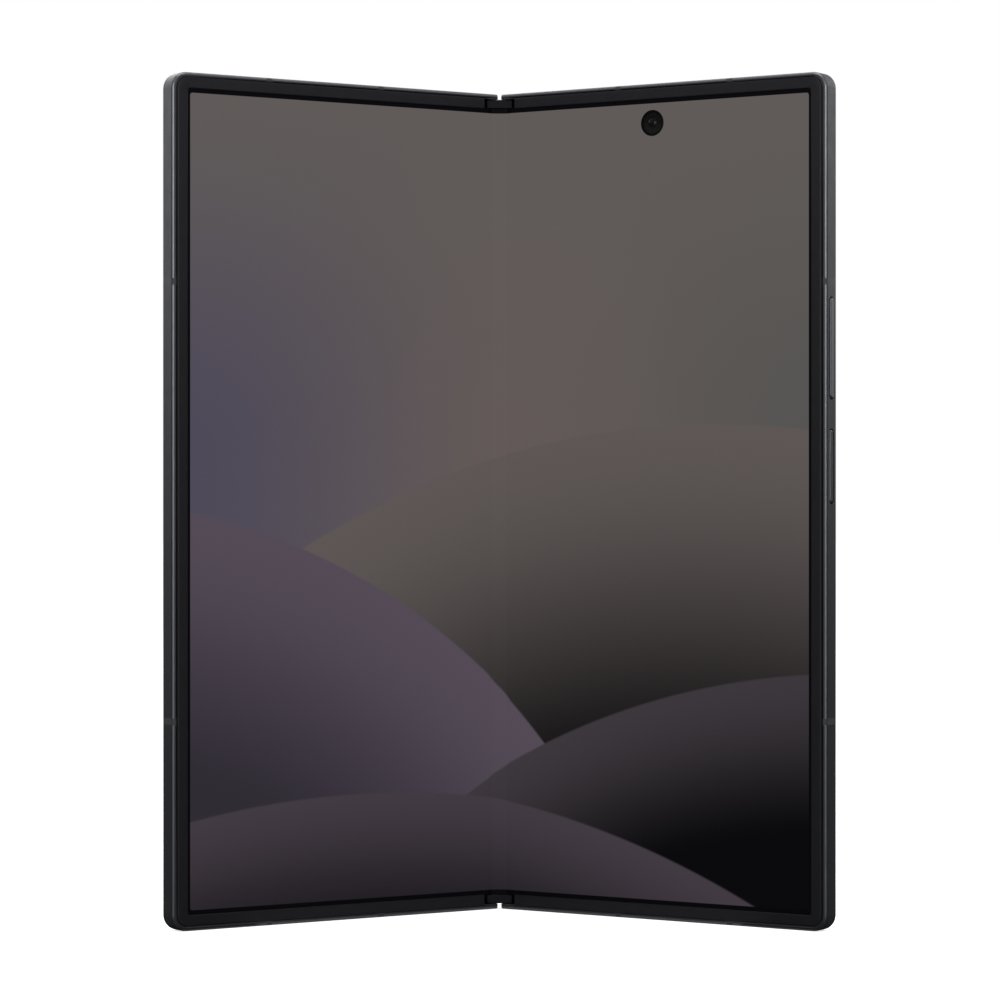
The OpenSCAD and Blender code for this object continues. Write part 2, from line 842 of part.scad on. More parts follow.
module back_outline(inset) {
  outline(rail_w + inset - back_rim_w, inset, corner(inset));
}

module cover_glass() {
  color([0.05, 0.05, 0.06]) half(-1)
    slab(back_y, glass_t)
      difference() {
        back_outline(back_rim_w + seat_gap);
        rounded(cover_cam_u - 6, body_h - back_rim_w - 0.55, 12, 0.35, 0.17);
      }
}

module cover_display() {
  color([0.02, 0.02, 0.03]) half(-1)
    slab(back_y - cover_panel_t, cover_panel_t)
      difference() {
        back_outline(back_rim_w + 1.4);
        translate([cover_cam_u, cover_cam_z]) circle(1.9);
      }
}

module cover_camera() {
  color([0.08, 0.08, 0.1]) half(-1) {
    rod_y(cover_cam_u, seat_in, cover_cam_z, back_y - cover_panel_t - seat_in, 2.6);
    rod_y(cover_cam_u, seat_in, cover_cam_z, back_y - seat_gap - seat_in, 1.8);
  }
}

module rear_glass() {
  color([0.2, 0.21, 0.23]) half(1)
    difference() {
      slab(back_y, glass_t) back_outline(back_rim_w + seat_gap);
      pill_y(island_u, back_y - 1, island_z, glass_t + 2, island_w + 2 * seat_gap, island_h + 2 * seat_gap);
      rod_y(island_u - island_w / 2 - 4, back_y - 1, island_z + lens_step, glass_t + 2, 1.7 + seat_gap);
    }
}

module camera_island() {
  color([0.2, 0.21, 0.23]) half(1)
    difference() {
      pill_y(island_u, back_y - 0.2, island_z, glass_t + island_rise + 0.2, island_w, island_h);
      for (k = [-1:1])
        rod_y(island_u, back_y - 1, island_z + k * lens_step, 9, ring_d / 2 - 0.9);
    }
}

module lens_rings() {
  color([0.4, 0.41, 0.43]) half(1)
    for (k = [-1:1])
      difference() {
        rod_y(island_u, thick + island_rise, island_z + k * lens_step, 1.1, ring_d / 2);
        rod_y(island_u, thick, island_z + k * lens_step, 9, ring_d / 2 - 1);
      }
}

module lens_glasses() {
  color([0.03, 0.03, 0.05]) half(1)
    for (k = [-1:1])
      rod_y(island_u, thick + island_rise + 0.5, island_z + k * lens_step, 0.4, ring_d / 2 - 1 - seat_gap);
}

module camera_modules() {
  color([0.1, 0.1, 0.11]) half(1)
    for (k = [-1:1])
      rod_y(island_u, seat_in, island_z + k * lens_step, thick + island_rise + 0.45 - seat_in, ring_d / 2 - 1.1);
}

module flash_light() {
  color([0.95, 0.9, 0.7]) half(1)
    rod_y(island_u - island_w / 2 - 4, back_y - 0.6, island_z + lens_step, glass_t + 0.62, 1.7);
}

module inner_camera() {
  color([0.05, 0.05, 0.06]) half(1) {
    rod_y(inner_cam_u, bezel_t + 0.1, inner_cam_z, seat_in, inner_cam_d / 2 - seat_gap);
    rod_y(inner_cam_u, mid_y - 0.1, inner_cam_z, 2, inner_cam_d / 2 + 0.5);
  }
}

// Boards, cells and other inner pieces

module main_board() {
  color([0.08, 0.2, 0.16]) half(1)
    slab(seat_in, board_t)
      difference() {
        translate([inner_u, board_z + 0.5]) square([outer_u - inner_u, board_h - wall_t - 1]);
        translate([island_u - island_w / 2 - 0.6, board_z - 1])
          square([half_w, island_z + island_h / 2 + 1.6 - board_z]);
        translate([inner_cam_u, inner_cam_z]) circle(inner_cam_d / 2 + 0.7);
      }
}

module shield_cans() {
  color([0.72, 0.72, 0.74]) half(1)
    for (k = [0, 1])
      translate([inner_u + can_edge, seat_in + board_t, board_z + 2 * can_edge + k * can_step])
        cube([island_u - island_w / 2 - inner_u - 3 * can_edge, can_h, can_l]);
}

module left_board() {
  color([0.08, 0.2, 0.16]) half(-1)
    slab(seat_in, board_t)
      difference() {
        translate([inner_u, board_z + cell_extra + 1]) square([outer_u - inner_u, board_h - cell_extra - 2 - wall_t]);
        translate([cover_cam_u, cover_cam_z]) circle(2.9);
        translate([cover_cam_u - ear_w / 2 - 0.5, body_h - wall_t - 0.3 - ear_h]) square([ear_w + 1, 9]);
      }
}

module earpiece() {
  color([0.12, 0.12, 0.13]) half(-1)
    translate([cover_cam_u - ear_w / 2, seat_in, body_h - wall_t - 0.2 - ear_h]) cube([ear_w, ear_t, ear_h]);
}

module left_battery() {
  color([0.16, 0.16, 0.17]) half(-1)
    slab(seat_in, left_cell_t)
      rounded(inner_u, foot_zone + 1, cell_outer - inner_u, board_z + cell_extra - foot_zone - 2, 1);
}

module right_battery() {
  color([0.16, 0.16, 0.17]) half(1)
    slab(seat_in, right_cell_t)
      rounded(inner_u, foot_zone + 1, cell_outer - inner_u, board_z - foot_zone - 2, 1);
}

module vibration_motor() {
  color([0.6, 0.6, 0.62]) half(-1)
    slab(seat_in, motor_t) rounded(inner_u + 2, foot_zone - motor_l - 2, motor_w, motor_l, 1.5);
}

module magnets() {
  for (k = [0, 1])
    translate([cell_outer + 0.5, seat_in, foot_zone + 6 + k * magnet_step]) cube([magnet_w, magnet_t, magnet_l]);
}

module left_magnets() {
  color([0.5, 0.5, 0.52]) half(-1) magnets();
}

module right_magnets() {
  color([0.5, 0.5, 0.52]) half(1) magnets();
}

module card_reader() {
  color([0.72, 0.72, 0.74]) half(-1)
    difference() {
      translate([tray_u - tray_w / 2 - 0.2, seat_in, wall_t + 0.1]) cube([tray_w + 0.4, tray_h + 0.2, tray_l + 1]);
      translate([tray_u - tray_bed_w / 2 - seat_gap, tray_y - tray_bed_t / 2 - seat_gap, wall_t - 1])
        cube([tray_bed_w + 2 * seat_gap, tray_bed_t + 2 * seat_gap, tray_l + 1.3]);
    }
}

module card_tray() {
  color([0.27, 0.28, 0.3]) half(-1)
    difference() {
      union() {
        pill_z(tray_u, tray_y, 0, wall_t, tray_h, tray_w);
        translate([tray_u - tray_bed_w / 2, tray_y - tray_bed_t / 2, wall_t - 0.1])
          cube([tray_bed_w, tray_bed_t, tray_l + 0.1 - wall_t]);
      }
      translate([tray_u - 4.5, tray_y - tray_bed_t / 2 + 0.13, wall_t + 1.2]) cube([9, 2, 12.5]);
      translate([tray_u + tray_w / 2 - 1, tray_y, -1]) cylinder(r = 0.35, h = wall_t + 0.6);
    }
}

module lower_board() {
  color([0.08, 0.2, 0.16]) half(1)
    slab(port_y - board_t / 2, board_t)
      difference() {
        translate([inner_u, 4]) square([speaker_x - 0.6 - inner_u, foot_zone - 5]);
        translate([port_u - port_w / 2 - port_shell - seat_gap, 0])
          square([port_w + 2 * port_shell + 2 * seat_gap, 7.6 + seat_gap]);
      }
}

module port_shell() {
  color([0.7, 0.7, 0.72]) half(1)
    difference() {
      pill_z(port_u, port_y, 0.15, 7.45, port_h + 2 * port_shell, port_w + 2 * port_shell);
      pill_z(port_u, port_y, -1, 8, port_h, port_w);
    }
}

module port_tongue() {
  color([0.1, 0.1, 0.11]) half(1)
    translate([port_u - 3.35, port_y - 0.35, 1]) cube([6.7, 0.7, 6]);
}

module loudspeaker() {
  color([0.12, 0.12, 0.13]) half(1)
    slab(seat_in, 2.2) rounded(speaker_x, wall_t + 0.1, speaker_w, speaker_l, 1);
}

module key_switches() {
  color([0.5, 0.5, 0.4]) half(1) {
    translate([switch_u - 0.55, mid_y, mid_z + power_z - 9])
      cube([0.2, 2, volume_z - power_z + 18]);
    for (z = [power_z, volume_z - 5, volume_z + 5])
      translate([switch_u - 0.35, key_y, mid_z + z])
        rotate([0, 90, 0]) cylinder(r = 0.9, h = 0.35);
  }
}

module key(rise, z, len) {
  pill_x(half_w - wall_t - seat_gap - 0.1, wall_t + seat_gap + 0.1 + rise, key_y, z, key_w, len);
  translate([half_w - wall_t - seat_gap - flange_t, key_y - flange_w / 2, z - len / 2 - 0.5])
    cube([flange_t, flange_w, len + 1]);
}

module volume_key() {
  color([0.3, 0.31, 0.33]) half(1) key(volume_rise, mid_z + volume_z, volume_l);
}

module power_key() {
  color([0.24, 0.25, 0.27]) half(1) key(power_rise, mid_z + power_z, power_l);
}

hinge_cover();
hinge_caps();
hinge_guides();
gear_housing();
friction_washers();
hinge_screws();
display_fold();
left_pinion();
right_pinion();
left_sync_gear();
right_sync_gear();
left_frame();
left_antenna_breaks();
left_bezel();
left_display();
left_display_plate();
left_arms();
left_geared_arm();
left_arm_screws();
cover_glass();
cover_display();
cover_camera();
left_battery();
left_board();
earpiece();
vibration_motor();
card_reader();
left_magnets();
right_frame();
right_antenna_breaks();
right_bezel();
right_display();
right_display_plate();
right_arms();
right_geared_arm();
right_arm_screws();
rear_glass();
camera_island();
lens_rings();
lens_glasses();
camera_modules();
flash_light();
inner_camera();
main_board();
shield_cans();
lower_board();
right_battery();
port_shell();
port_tongue();
loudspeaker();
key_switches();
right_magnets();
volume_key();
power_key();
card_tray();
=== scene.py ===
import json
import math

import bmesh
import bpy
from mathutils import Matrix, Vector


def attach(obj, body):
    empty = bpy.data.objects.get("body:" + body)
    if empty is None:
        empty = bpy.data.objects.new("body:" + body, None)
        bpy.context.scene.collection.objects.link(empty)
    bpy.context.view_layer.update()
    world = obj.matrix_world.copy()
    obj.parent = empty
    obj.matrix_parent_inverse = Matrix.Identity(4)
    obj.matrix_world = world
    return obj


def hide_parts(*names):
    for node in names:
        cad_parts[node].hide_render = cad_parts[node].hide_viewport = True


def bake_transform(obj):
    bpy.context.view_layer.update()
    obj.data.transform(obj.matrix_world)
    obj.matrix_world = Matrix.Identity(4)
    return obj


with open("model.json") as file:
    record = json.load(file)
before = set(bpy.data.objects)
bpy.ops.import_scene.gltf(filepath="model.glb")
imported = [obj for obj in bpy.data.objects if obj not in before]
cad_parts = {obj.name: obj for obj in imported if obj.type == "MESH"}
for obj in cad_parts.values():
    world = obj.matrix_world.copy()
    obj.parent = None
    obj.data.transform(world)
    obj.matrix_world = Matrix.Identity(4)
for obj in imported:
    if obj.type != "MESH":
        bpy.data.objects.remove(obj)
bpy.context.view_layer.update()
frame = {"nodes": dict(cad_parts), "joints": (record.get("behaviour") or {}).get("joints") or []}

# ---------------------------------------------------------------------------------------------
# The hinge: two steel guide blocks and a gear housing, with curved arms that slide in them, four
# sintered gears that keep the halves in step, and washer stacks that hold any angle.
def screen_tone(r, g, b):
    """A colour as it is seen on a screen, 0 to 255, made the linear colour that a finish needs."""
    return [((c / 255 + 0.055) / 1.055) ** 2.4 if c > 10 else c / 255 / 12.92 for c in (r, g, b)] + [1]


def finish(name, colour, roughness, metallic=0.0, **more):
    """A finish before its grain: one shader with its plain values."""
    made = bpy.data.materials.new(name)
    made.use_nodes = True
    shader = made.node_tree.nodes["Principled BSDF"]
    shader.inputs["Base Color"].default_value = screen_tone(*colour)
    shader.inputs["Roughness"].default_value = roughness
    shader.inputs["Metallic"].default_value = metallic
    for words, value in more.items():
        shader.inputs[words.replace("_", " ")].default_value = value
    return made


def new_node(tree, kind, **values):
    """A new node of a tree, with its settings and the values of its inputs by name."""
    new = tree.nodes.new(kind)
    for words, value in values.items():
        if hasattr(new, words):
            setattr(new, words, value)
        else:
            new.inputs[words.replace("_", " ")].default_value = value
    return new


def wire(tree, *pairs):
    """Links an output to an input, for each pair."""
    for start, end in pairs:
        tree.links.new(start, end)


def grained(made, grain, depth, shade=0.12, gloss=0.06, stretch=(1, 1, 1)):
    """Gives a finish its grain: fine bumps of a size and depth in millimetres, with patches that are
    a little lighter or darker and glossier or duller, as blasting, moulding or rolling leaves them."""
    tree = made.node_tree
    shader = tree.nodes["Principled BSDF"]
    colour = list(shader.inputs["Base Color"].default_value)
    rough = shader.inputs["Roughness"].default_value
    place = new_node(tree, "ShaderNodeTexCoord")
    laid = new_node(tree, "ShaderNodeMapping", Scale=[1000 * s for s in stretch])
    fine = new_node(tree, "ShaderNodeTexNoise", Scale=1 / grain, Detail=2.0, Roughness=0.6)
    patch = new_node(tree, "ShaderNodeTexNoise", Scale=0.35, Detail=4.0, Roughness=0.65)
    tint = new_node(tree, "ShaderNodeMix", data_type="RGBA")
    tint.inputs["A"].default_value = [c * (1 - shade) for c in colour[:3]] + [1]
    tint.inputs["B"].default_value = [c * (1 + shade) for c in colour[:3]] + [1]
    both = new_node(tree, "ShaderNodeMath", operation="ADD")
    half = new_node(tree, "ShaderNodeMath", operation="MULTIPLY")
    half.inputs[1].default_value = 0.5
    spread = new_node(tree, "ShaderNodeMapRange", From_Min=0.3, From_Max=0.7, To_Min=rough - gloss,
                      To_Max=rough + gloss)
    relief = new_node(tree, "ShaderNodeBump", Distance=depth / 1000, Strength=0.6)
    wire(tree, (place.outputs["Object"], laid.inputs["Vector"]),
         (laid.outputs["Vector"], fine.inputs["Vector"]), (laid.outputs["Vector"], patch.inputs["Vector"]),
         (patch.outputs["Fac"], both.inputs[0]), (fine.outputs["Fac"], both.inputs[1]),
         (both.outputs[0], half.inputs[0]), (half.outputs[0], tint.inputs["Factor"]),
         (tint.outputs["Result"], shader.inputs["Base Color"]),
         (patch.outputs["Fac"], spread.inputs["Value"]), (spread.outputs[0], shader.inputs["Roughness"]),
         (fine.outputs["Fac"], relief.inputs["Height"]), (relief.outputs[0], shader.inputs["Normal"]))
    return made


def dress(surface, *cad_nodes):
    """Gives CAD solids that stay as they are their finish."""
    for cad_node in cad_nodes:
        frame["nodes"][cad_node].data.materials.clear()
        frame["nodes"][cad_node].data.materials.append(surface)


steel = grained(finish("machined_steel", (176, 176, 180), 0.34, 1.0), 0.09, 0.002, 0.1, 0.1, (1, 1, 0.08))
sintered = grained(finish("sintered_steel", (158, 154, 148), 0.46, 1.0), 0.05, 0.004, 0.22, 0.12)
dress(steel, "hinge_guides", "gear_housing", "left_arms", "right_arms", "left_geared_arm",
      "right_geared_arm")
dress(sintered, "left_pinion", "right_pinion", "left_sync_gear", "right_sync_gear", "friction_washers")

# ---------------------------------------------------------------------------------------------
# The screws of the hinge and of its arms: pan heads with a six-lobed socket, turned and zinc plated.
# Each is rebuilt where the solid screw is, by one Geometry Nodes tree.
zinc = grained(finish("zinc_plate", (186, 188, 194), 0.26, 1.0), 0.05, 0.001, 0.14, 0.08)
joints = {joint["name"]: joint for joint in frame["joints"]}
raised = math.radians(-joints["right_fold"]["range_deg"][0])


def new_piece(name, shape, surface, body, nodes=(), smooth=35):
    """Makes a finished piece of a bmesh: its surface, its body and the solids that it stands for."""
    mesh = bpy.data.meshes.new(name)
    shape.to_mesh(mesh)
    shape.free()
    mesh.shade_smooth()
    mesh.set_sharp_from_angle(angle=math.radians(smooth))
    mesh.materials.append(surface)
    piece = bpy.data.objects.new(name, mesh)
    bpy.context.scene.collection.objects.link(piece)
    even = piece.modifiers.new("even_normals", "WEIGHTED_NORMAL")
    even.keep_sharp = True
    even.weight = 80
    if body:
        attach(piece, body)
    if nodes:
        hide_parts(*nodes)
    return piece


def welded(cad_node, ease=0.0, pick=None):
    """A copy of a CAD solid with its triangles joined and its sharp edges eased by a width in millimetres.
    pick chooses the edges by their middle, in metres."""
    shape = bmesh.new()
    shape.from_mesh(frame["nodes"][cad_node].data)
    bmesh.ops.remove_doubles(shape, verts=shape.verts[:], dist=1e-6)
    bmesh.ops.dissolve_limit(shape, angle_limit=math.radians(0.4), verts=shape.verts[:], edges=shape.edges[:])
    if ease:
        sharp = [edge for edge in shape.edges
                 if len(edge.link_faces) == 2 and edge.calc_face_angle(0) > math.radians(40)
                 and (pick is None or pick((edge.verts[0].co + edge.verts[1].co) / 2))]
        bmesh.ops.bevel(shape, geom=sharp, offset=ease / 1000, segments=2, profile=0.5, affect="EDGES",
                        clamp_overlap=True)
    return shape


def tree_input(tree, name, kind, value=None):
    """A named input of a tree, made, and the identifier that a modifier knows it by."""
    socket = tree.interface.new_socket(name, in_out="INPUT", socket_type=kind)
    if value is not None:
        socket.default_value = value
    return socket.identifier


def grown(name, tree, seeds, values, surface, body, nodes=(), smooth=35):
    """Runs a tree on a mesh of seed points and keeps its result as a plain piece."""
    mesh = bpy.data.meshes.new(name)
    mesh.from_pydata([tuple(p) for p in seeds], [], [])
    start = bpy.data.objects.new(name + "_seeds", mesh)
    bpy.context.scene.collection.objects.link(start)
    step = start.modifiers.new("grow", "NODES")
    step.node_group = tree
    for identifier, value in values.items():
        step[identifier] = value
    bpy.context.view_layer.update()
    result = bpy.data.meshes.new_from_object(start.evaluated_get(bpy.context.evaluated_depsgraph_get()))
    shape = bmesh.new()
    shape.from_mesh(result)
    bpy.data.objects.remove(start)
    return new_piece(name, shape, surface, body, nodes, smooth)


screw_tree = bpy.data.node_groups.new("screws", "GeometryNodeTree")
tree_input(screw_tree, "Geometry", "NodeSocketGeometry")
HEAD_R = tree_input(screw_tree, "Head radius", "NodeSocketFloat", 0.7)
HEAD_H = tree_input(screw_tree, "Head height", "NodeSocketFloat", 0.22)
SHANK_R = tree_input(screw_tree, "Shank radius", "NodeSocketFloat", 0.4)
SHANK_L = tree_input(screw_tree, "Shank length", "NodeSocketFloat", 1.0)
LEAN = tree_input(screw_tree, "Lean", "NodeSocketVector", (0, 0, 0))
SCREW_FINISH = tree_input(screw_tree, "Finish", "NodeSocketMaterial")
screw_tree.interface.new_socket("Geometry", in_out="OUTPUT", socket_type="NodeSocketGeometry")
SOCKET_OUTER, SOCKET_INNER, SOCKET_DEPTH = 0.5, 0.36, 0.35


def times(value, factor):
    """A measure of the screw, multiplied by a plain number."""
    product = new_node(screw_tree, "ShaderNodeMath", operation="MULTIPLY")
    product.inputs[1].default_value = factor
    wire(screw_tree, (value, product.inputs[0]))
    return product.outputs[0]


given = new_node(screw_tree, "NodeGroupInput").outputs
head = new_node(screw_tree, "GeometryNodeMeshCylinder", Vertices=32)
star = new_node(screw_tree, "GeometryNodeCurveStar", Points=6)
star_fill = new_node(screw_tree, "GeometryNodeFillCurve")
socket_block = new_node(screw_tree, "GeometryNodeExtrudeMesh", mode="FACES", Individual=False)
socket_up = new_node(screw_tree, "ShaderNodeCombineXYZ")
socket_place = new_node(screw_tree, "GeometryNodeTransform")
socket_cut = new_node(screw_tree, "GeometryNodeMeshBoolean", operation="DIFFERENCE")
shank = new_node(screw_tree, "GeometryNodeMeshCylinder", Vertices=24)
shank_drop = new_node(screw_tree, "ShaderNodeMath", operation="ADD")
shank_down = new_node(screw_tree, "ShaderNodeCombineXYZ")
shank_place = new_node(screw_tree, "GeometryNodeTransform")
whole = new_node(screw_tree, "GeometryNodeJoinGeometry")
sized = new_node(screw_tree, "GeometryNodeTransform", Scale=(0.001, 0.001, 0.001))
to_points = new_node(screw_tree, "GeometryNodeInstanceOnPoints")
realized = new_node(screw_tree, "GeometryNodeRealizeInstances")
coated = new_node(screw_tree, "GeometryNodeSetMaterial")
out = new_node(screw_tree, "NodeGroupOutput")
wire(screw_tree, (given["Head radius"], head.inputs["Radius"]), (given["Head height"], head.inputs["Depth"]),
     (times(given["Head radius"], SOCKET_OUTER), star.inputs["Outer Radius"]),
     (times(given["Head radius"], SOCKET_INNER), star.inputs["Inner Radius"]),
     (star.outputs[0], star_fill.inputs[0]), (star_fill.outputs[0], socket_block.inputs["Mesh"]),
     (given["Head height"], socket_block.inputs["Offset Scale"]),
     (times(given["Head height"], -SOCKET_DEPTH), socket_up.inputs["Z"]),
     (socket_block.outputs["Mesh"], socket_place.inputs["Geometry"]),
     (socket_up.outputs[0], socket_place.inputs["Translation"]),
     (head.outputs["Mesh"], socket_cut.inputs["Mesh 1"]),
     (socket_place.outputs[0], socket_cut.inputs["Mesh 2"]))
wire(screw_tree, (given["Shank radius"], shank.inputs["Radius"]),
     (given["Shank length"], shank.inputs["Depth"]),
     (times(given["Shank length"], -0.5), shank_drop.inputs[0]),
     (times(given["Head height"], -0.5), shank_drop.inputs[1]),
     (shank_drop.outputs[0], shank_down.inputs["Z"]), (shank.outputs["Mesh"], shank_place.inputs["Geometry"]),
     (shank_down.outputs[0], shank_place.inputs["Translation"]))
wire(screw_tree, (socket_cut.outputs[0], whole.inputs[0]), (shank_place.outputs[0], whole.inputs[0]),
     (whole.outputs[0], sized.inputs["Geometry"]), (sized.outputs[0], to_points.inputs["Instance"]),
     (given["Geometry"], to_points.inputs["Points"]), (given["Lean"], to_points.inputs["Rotation"]),
     (to_points.outputs[0], realized.inputs[0]), (realized.outputs[0], coated.inputs["Geometry"]),
     (given["Finish"], coated.inputs["Material"]), (coated.outputs[0], out.inputs[0]))


def clusters(cad_node):
    """The middle of each separate solid in a CAD node."""
    shape = welded(cad_node)
    seen, middles = set(), []
    for first in shape.verts:
        if first in seen:
            continue
        heap, group = [first], []
        seen.add(first)
        while heap:
            vert = heap.pop()
            group.append(vert.co.copy())
            for edge in vert.link_edges:
                other = edge.other_vert(vert)
                if other not in seen:
                    seen.add(other)
                    heap.append(other)
        low = Vector([min(p[i] for p in group) for i in range(3)])
        high = Vector([max(p[i] for p in group) for i in range(3)])
        middles.append((low + high) / 2)
    shape.free()
    return middles


def screws(name, cad_node, body, side, head_r, head_h, shank_r, shank_l):
    """Head and shank in the place of the solid screws; their heads face the inner display."""
    lean = side * -raised if side else 0.0
    inward = Vector((math.sin(lean), -math.cos(lean), 0)) if side else Vector((0, -1, 0))
    span = (head_h + shank_l) / 2000
    seeds = [middle + inward * (span - head_h / 2000) for middle in clusters(cad_node)]
    grown(name, screw_tree, seeds,
          {HEAD_R: head_r, HEAD_H: head_h, SHANK_R: shank_r, SHANK_L: shank_l, LEAN: (math.pi / 2, 0, lean),
           SCREW_FINISH: zinc}, zinc, body, [cad_node])


screws("hinge_screw_set", "hinge_screws", "hinge_spine", 0, 0.68, 0.22, 0.38, 2.19)
screws("left_arm_screw_set", "left_arm_screws", "left_half", -1, 0.8, 0.23, 0.48, 1.1)
screws("right_arm_screw_set", "right_arm_screws", "right_half", 1, 0.8, 0.23, 0.48, 1.1)

# ---------------------------------------------------------------------------------------------
# The hinge cover, a drawn aluminium trough that closes the back of the hinge, and its two end
# caps, milled and anodised darker, which show between the halves at the top and bottom.
dark_anodised = grained(finish("dark_anodised", (44, 45, 48), 0.42, 1.0), 0.05, 0.0015, 0.08, 0.05)
new_piece("hinge_cover_shell", welded("hinge_cover", 0.04), dark_anodised, "hinge_spine", ["hinge_cover"])
cap_metal = grained(finish("cap_metal", (22, 22, 24), 0.5, 1.0), 0.05, 0.001, 0.1, 0.06)
new_piece("hinge_end_caps", welded("hinge_caps", 0.14), cap_metal, "hinge_spine", ["hinge_caps"])

# ---------------------------------------------------------------------------------------------
# The frame of each half: milled from one aluminium plate, blasted to a fine satin and anodised
# graphite; its front edge carries a painted highlight. Plastic breaks, milled flush, let the antennas
# through.
anodised = grained(finish("graphite_anodised", (46, 47, 50), 0.5, 1.0), 0.04, 0.0012, 0.05, 0.035)
# a brighter copy of the graphite metal: on the frame's front edge and the power key's edge it is a painted
# highlight, on the lens rings it is their bright metal
bright_metal_and_painted_highlight = grained(finish("bright_metal_painted_highlight", (84, 85, 88), 0.33, 1.0), 0.03, 0.0006, 0.04, 0.03)
break_plastic = grained(finish("break_plastic", (34, 35, 38), 0.5, Specular_IOR_Level=0.2), 0.06, 0.001, 0.08,
                        0.05)
# Each half is worked out laid flat, in millimetres: u from the hinge's middle outward, y from the
# inner display back, z up along the hinge. It is then turned about its fold axis to where it stands.
BODY_H, HALF_W, THICK, CORNER_R = 158.4, 71.6, 4.2, 3.0
MIDDLE = BODY_H / 2
FRONT_EDGE, RIM_DROP, LIP_END, LIP_EASE = 0.6, 0.08, 0.79, 0.3
# how squarely a face of the painted highlight on the front edge looks to the front: least, most, and most
# along the two ends
TILT_LEAST, TILT_MOST, TILT_MOST_AT_ENDS = 0.3, 0.93, 0.995
fold_axis = Vector(joints["right_fold"]["pos_m"]) * 1000
AXIS_U, AXIS_Y = fold_axis.x, 1.08
NEAR = 0.05


def turned(u, y, angle):
    """A point of the right half, turned by an angle from flat, across the hinge and front to back."""
    du, dy = u - AXIS_U, y - AXIS_Y
    return (AXIS_U + du * math.cos(angle) + dy * math.sin(angle),
            fold_axis.y - du * math.sin(angle) + dy * math.cos(angle))


def standing(side, u, y, z):
    """A point of a half as it stands half open, in metres; side is 1 on the right and -1 on the left."""
    x, depth = turned(u, y, raised)
    return Vector((side * x, depth, z)) / 1000


def laid_flat(side, place):
    """The other way round: u, y and z in millimetres of a point in metres."""
    x, depth = side * place.x * 1000 - AXIS_U, place.y * 1000 - fold_axis.y
    return (AXIS_U + x * math.cos(raised) - depth * math.sin(raised),
            AXIS_Y + x * math.sin(raised) + depth * math.cos(raised), place.z * 1000)


def lip_corner(side):
    """Picks the upper and lower corners of the two walls that pass over the ends of the hinge."""
    def picked(middle):
        u, y, z = laid_flat(side, middle)
        return abs(u - LIP_END) < NEAR and abs(abs(z - MIDDLE) - MIDDLE) < NEAR
    return picked


def from_outline(u, z):
    """How far a point lies inside the rounded outline of a half, in millimetres."""
    near_end = min(z, BODY_H - z)
    past_u, past_z = u - HALF_W + CORNER_R, CORNER_R - near_end
    if past_u > 0 and past_z > 0:
        return CORNER_R - math.hypot(past_u, past_z)
    return min(HALF_W - u, near_end)


for side, half in ((-1, "left"), (1, "right")):
    piece = new_piece(f"{half}_frame_milled", welded(f"{half}_frame", LIP_EASE, lip_corner(side)), anodised,
                      f"{half}_half", [f"{half}_frame"])
    piece.data.materials.append(bright_metal_and_painted_highlight)
    front = standing(side, 0, -1, 0) - standing(side, 0, 0, 0)
    for face in piece.data.polygons:
        u, y, z = laid_flat(side, face.center)
        facing = face.normal.dot(front.normalized())
        most = TILT_MOST_AT_ENDS if min(z, BODY_H - z) < FRONT_EDGE else TILT_MOST
        # the middle facets of the rounded front edge take the brighter metal, a painted highlight
        if y < RIM_DROP + FRONT_EDGE and from_outline(u, z) < FRONT_EDGE and TILT_LEAST < facing < most:
            face.material_index = 1
    new_piece(f"{half}_break_inserts", welded(f"{half}_antenna_breaks"), break_plastic, f"{half}_half",
              [f"{half}_antenna_breaks"])

# ---------------------------------------------------------------------------------------------
# Inside the halves: circuit boards under tinned cans, pouch cells in black wrap, magnets, the
# vibration motor, the earpiece and the loudspeaker box. They keep their CAD solids.
board_green = grained(finish("solder_mask", (22, 54, 46), 0.38, Specular_IOR_Level=0.5), 0.35, 0.01, 0.3, 0.1)
cell_wrap = grained(finish("cell_wrap", (46, 46, 49), 0.44, 0.2), 0.5, 0.01, 0.12, 0.1)
tinned = grained(finish("tinned_sheet", (188, 188, 192), 0.3, 1.0), 0.12, 0.003, 0.1, 0.08, (0.1, 1, 1))
nickel = grained(finish("nickel_plate", (150, 150, 153), 0.25, 1.0), 0.2, 0.002, 0.1, 0.08)
moulded_black = grained(finish("moulded_black", (30, 30, 32), 0.55, Specular_IOR_Level=0.4), 0.1, 0.006, 0.12,
                        0.08)
switched_off = grained(finish("switched_off_panel", (9, 9, 11), 0.12, Specular_IOR_Level=0.5), 0.4, 0.0005,
                       0.1, 0.03)
dress(board_green, "left_board", "main_board", "lower_board")
dress(cell_wrap, "left_battery", "right_battery")
dress(tinned, "shield_cans", "card_reader", "port_shell", "vibration_motor", "key_switches")
dress(nickel, "left_magnets", "right_magnets")
dress(steel, "left_display_plate", "right_display_plate")
dress(moulded_black, "earpiece", "loudspeaker", "port_tongue", "cover_camera")
dress(switched_off, "cover_display")

# ---------------------------------------------------------------------------------------------
# The keys and the card tray are cut from the same aluminium as the frame. The volume key is painted
# lighter, as painted light, and the power key's edge carries a painted highlight. Both keys stand in
# milled pockets and taper a little towards their faces; the power key reads fingerprints.
# the volume key's metal: the frame's aluminium painted lighter, painted light
key_metal_painted_light = grained(finish("key_metal_painted_light", (74, 75, 78), 0.45, 1.0), 0.04, 0.001, 0.05, 0.03)
power_metal = grained(finish("power_key_metal", (48, 49, 52), 0.45, 1.0), 0.05, 0.0008, 0.05, 0.03)
KEY_Y, KEY_R, KEY_TAPER, KEY_OUTER, EDGE_NEAR = 2.15, 0.8, 0.2, 0.5, 0.02
# how squarely a face of the eased edge looks outward, at least and at most
EDGE_LEAST, EDGE_MOST = 0.2, 0.95
outward = (standing(1, 1, 0, 0) - standing(1, 0, 0, 0)).normalized()
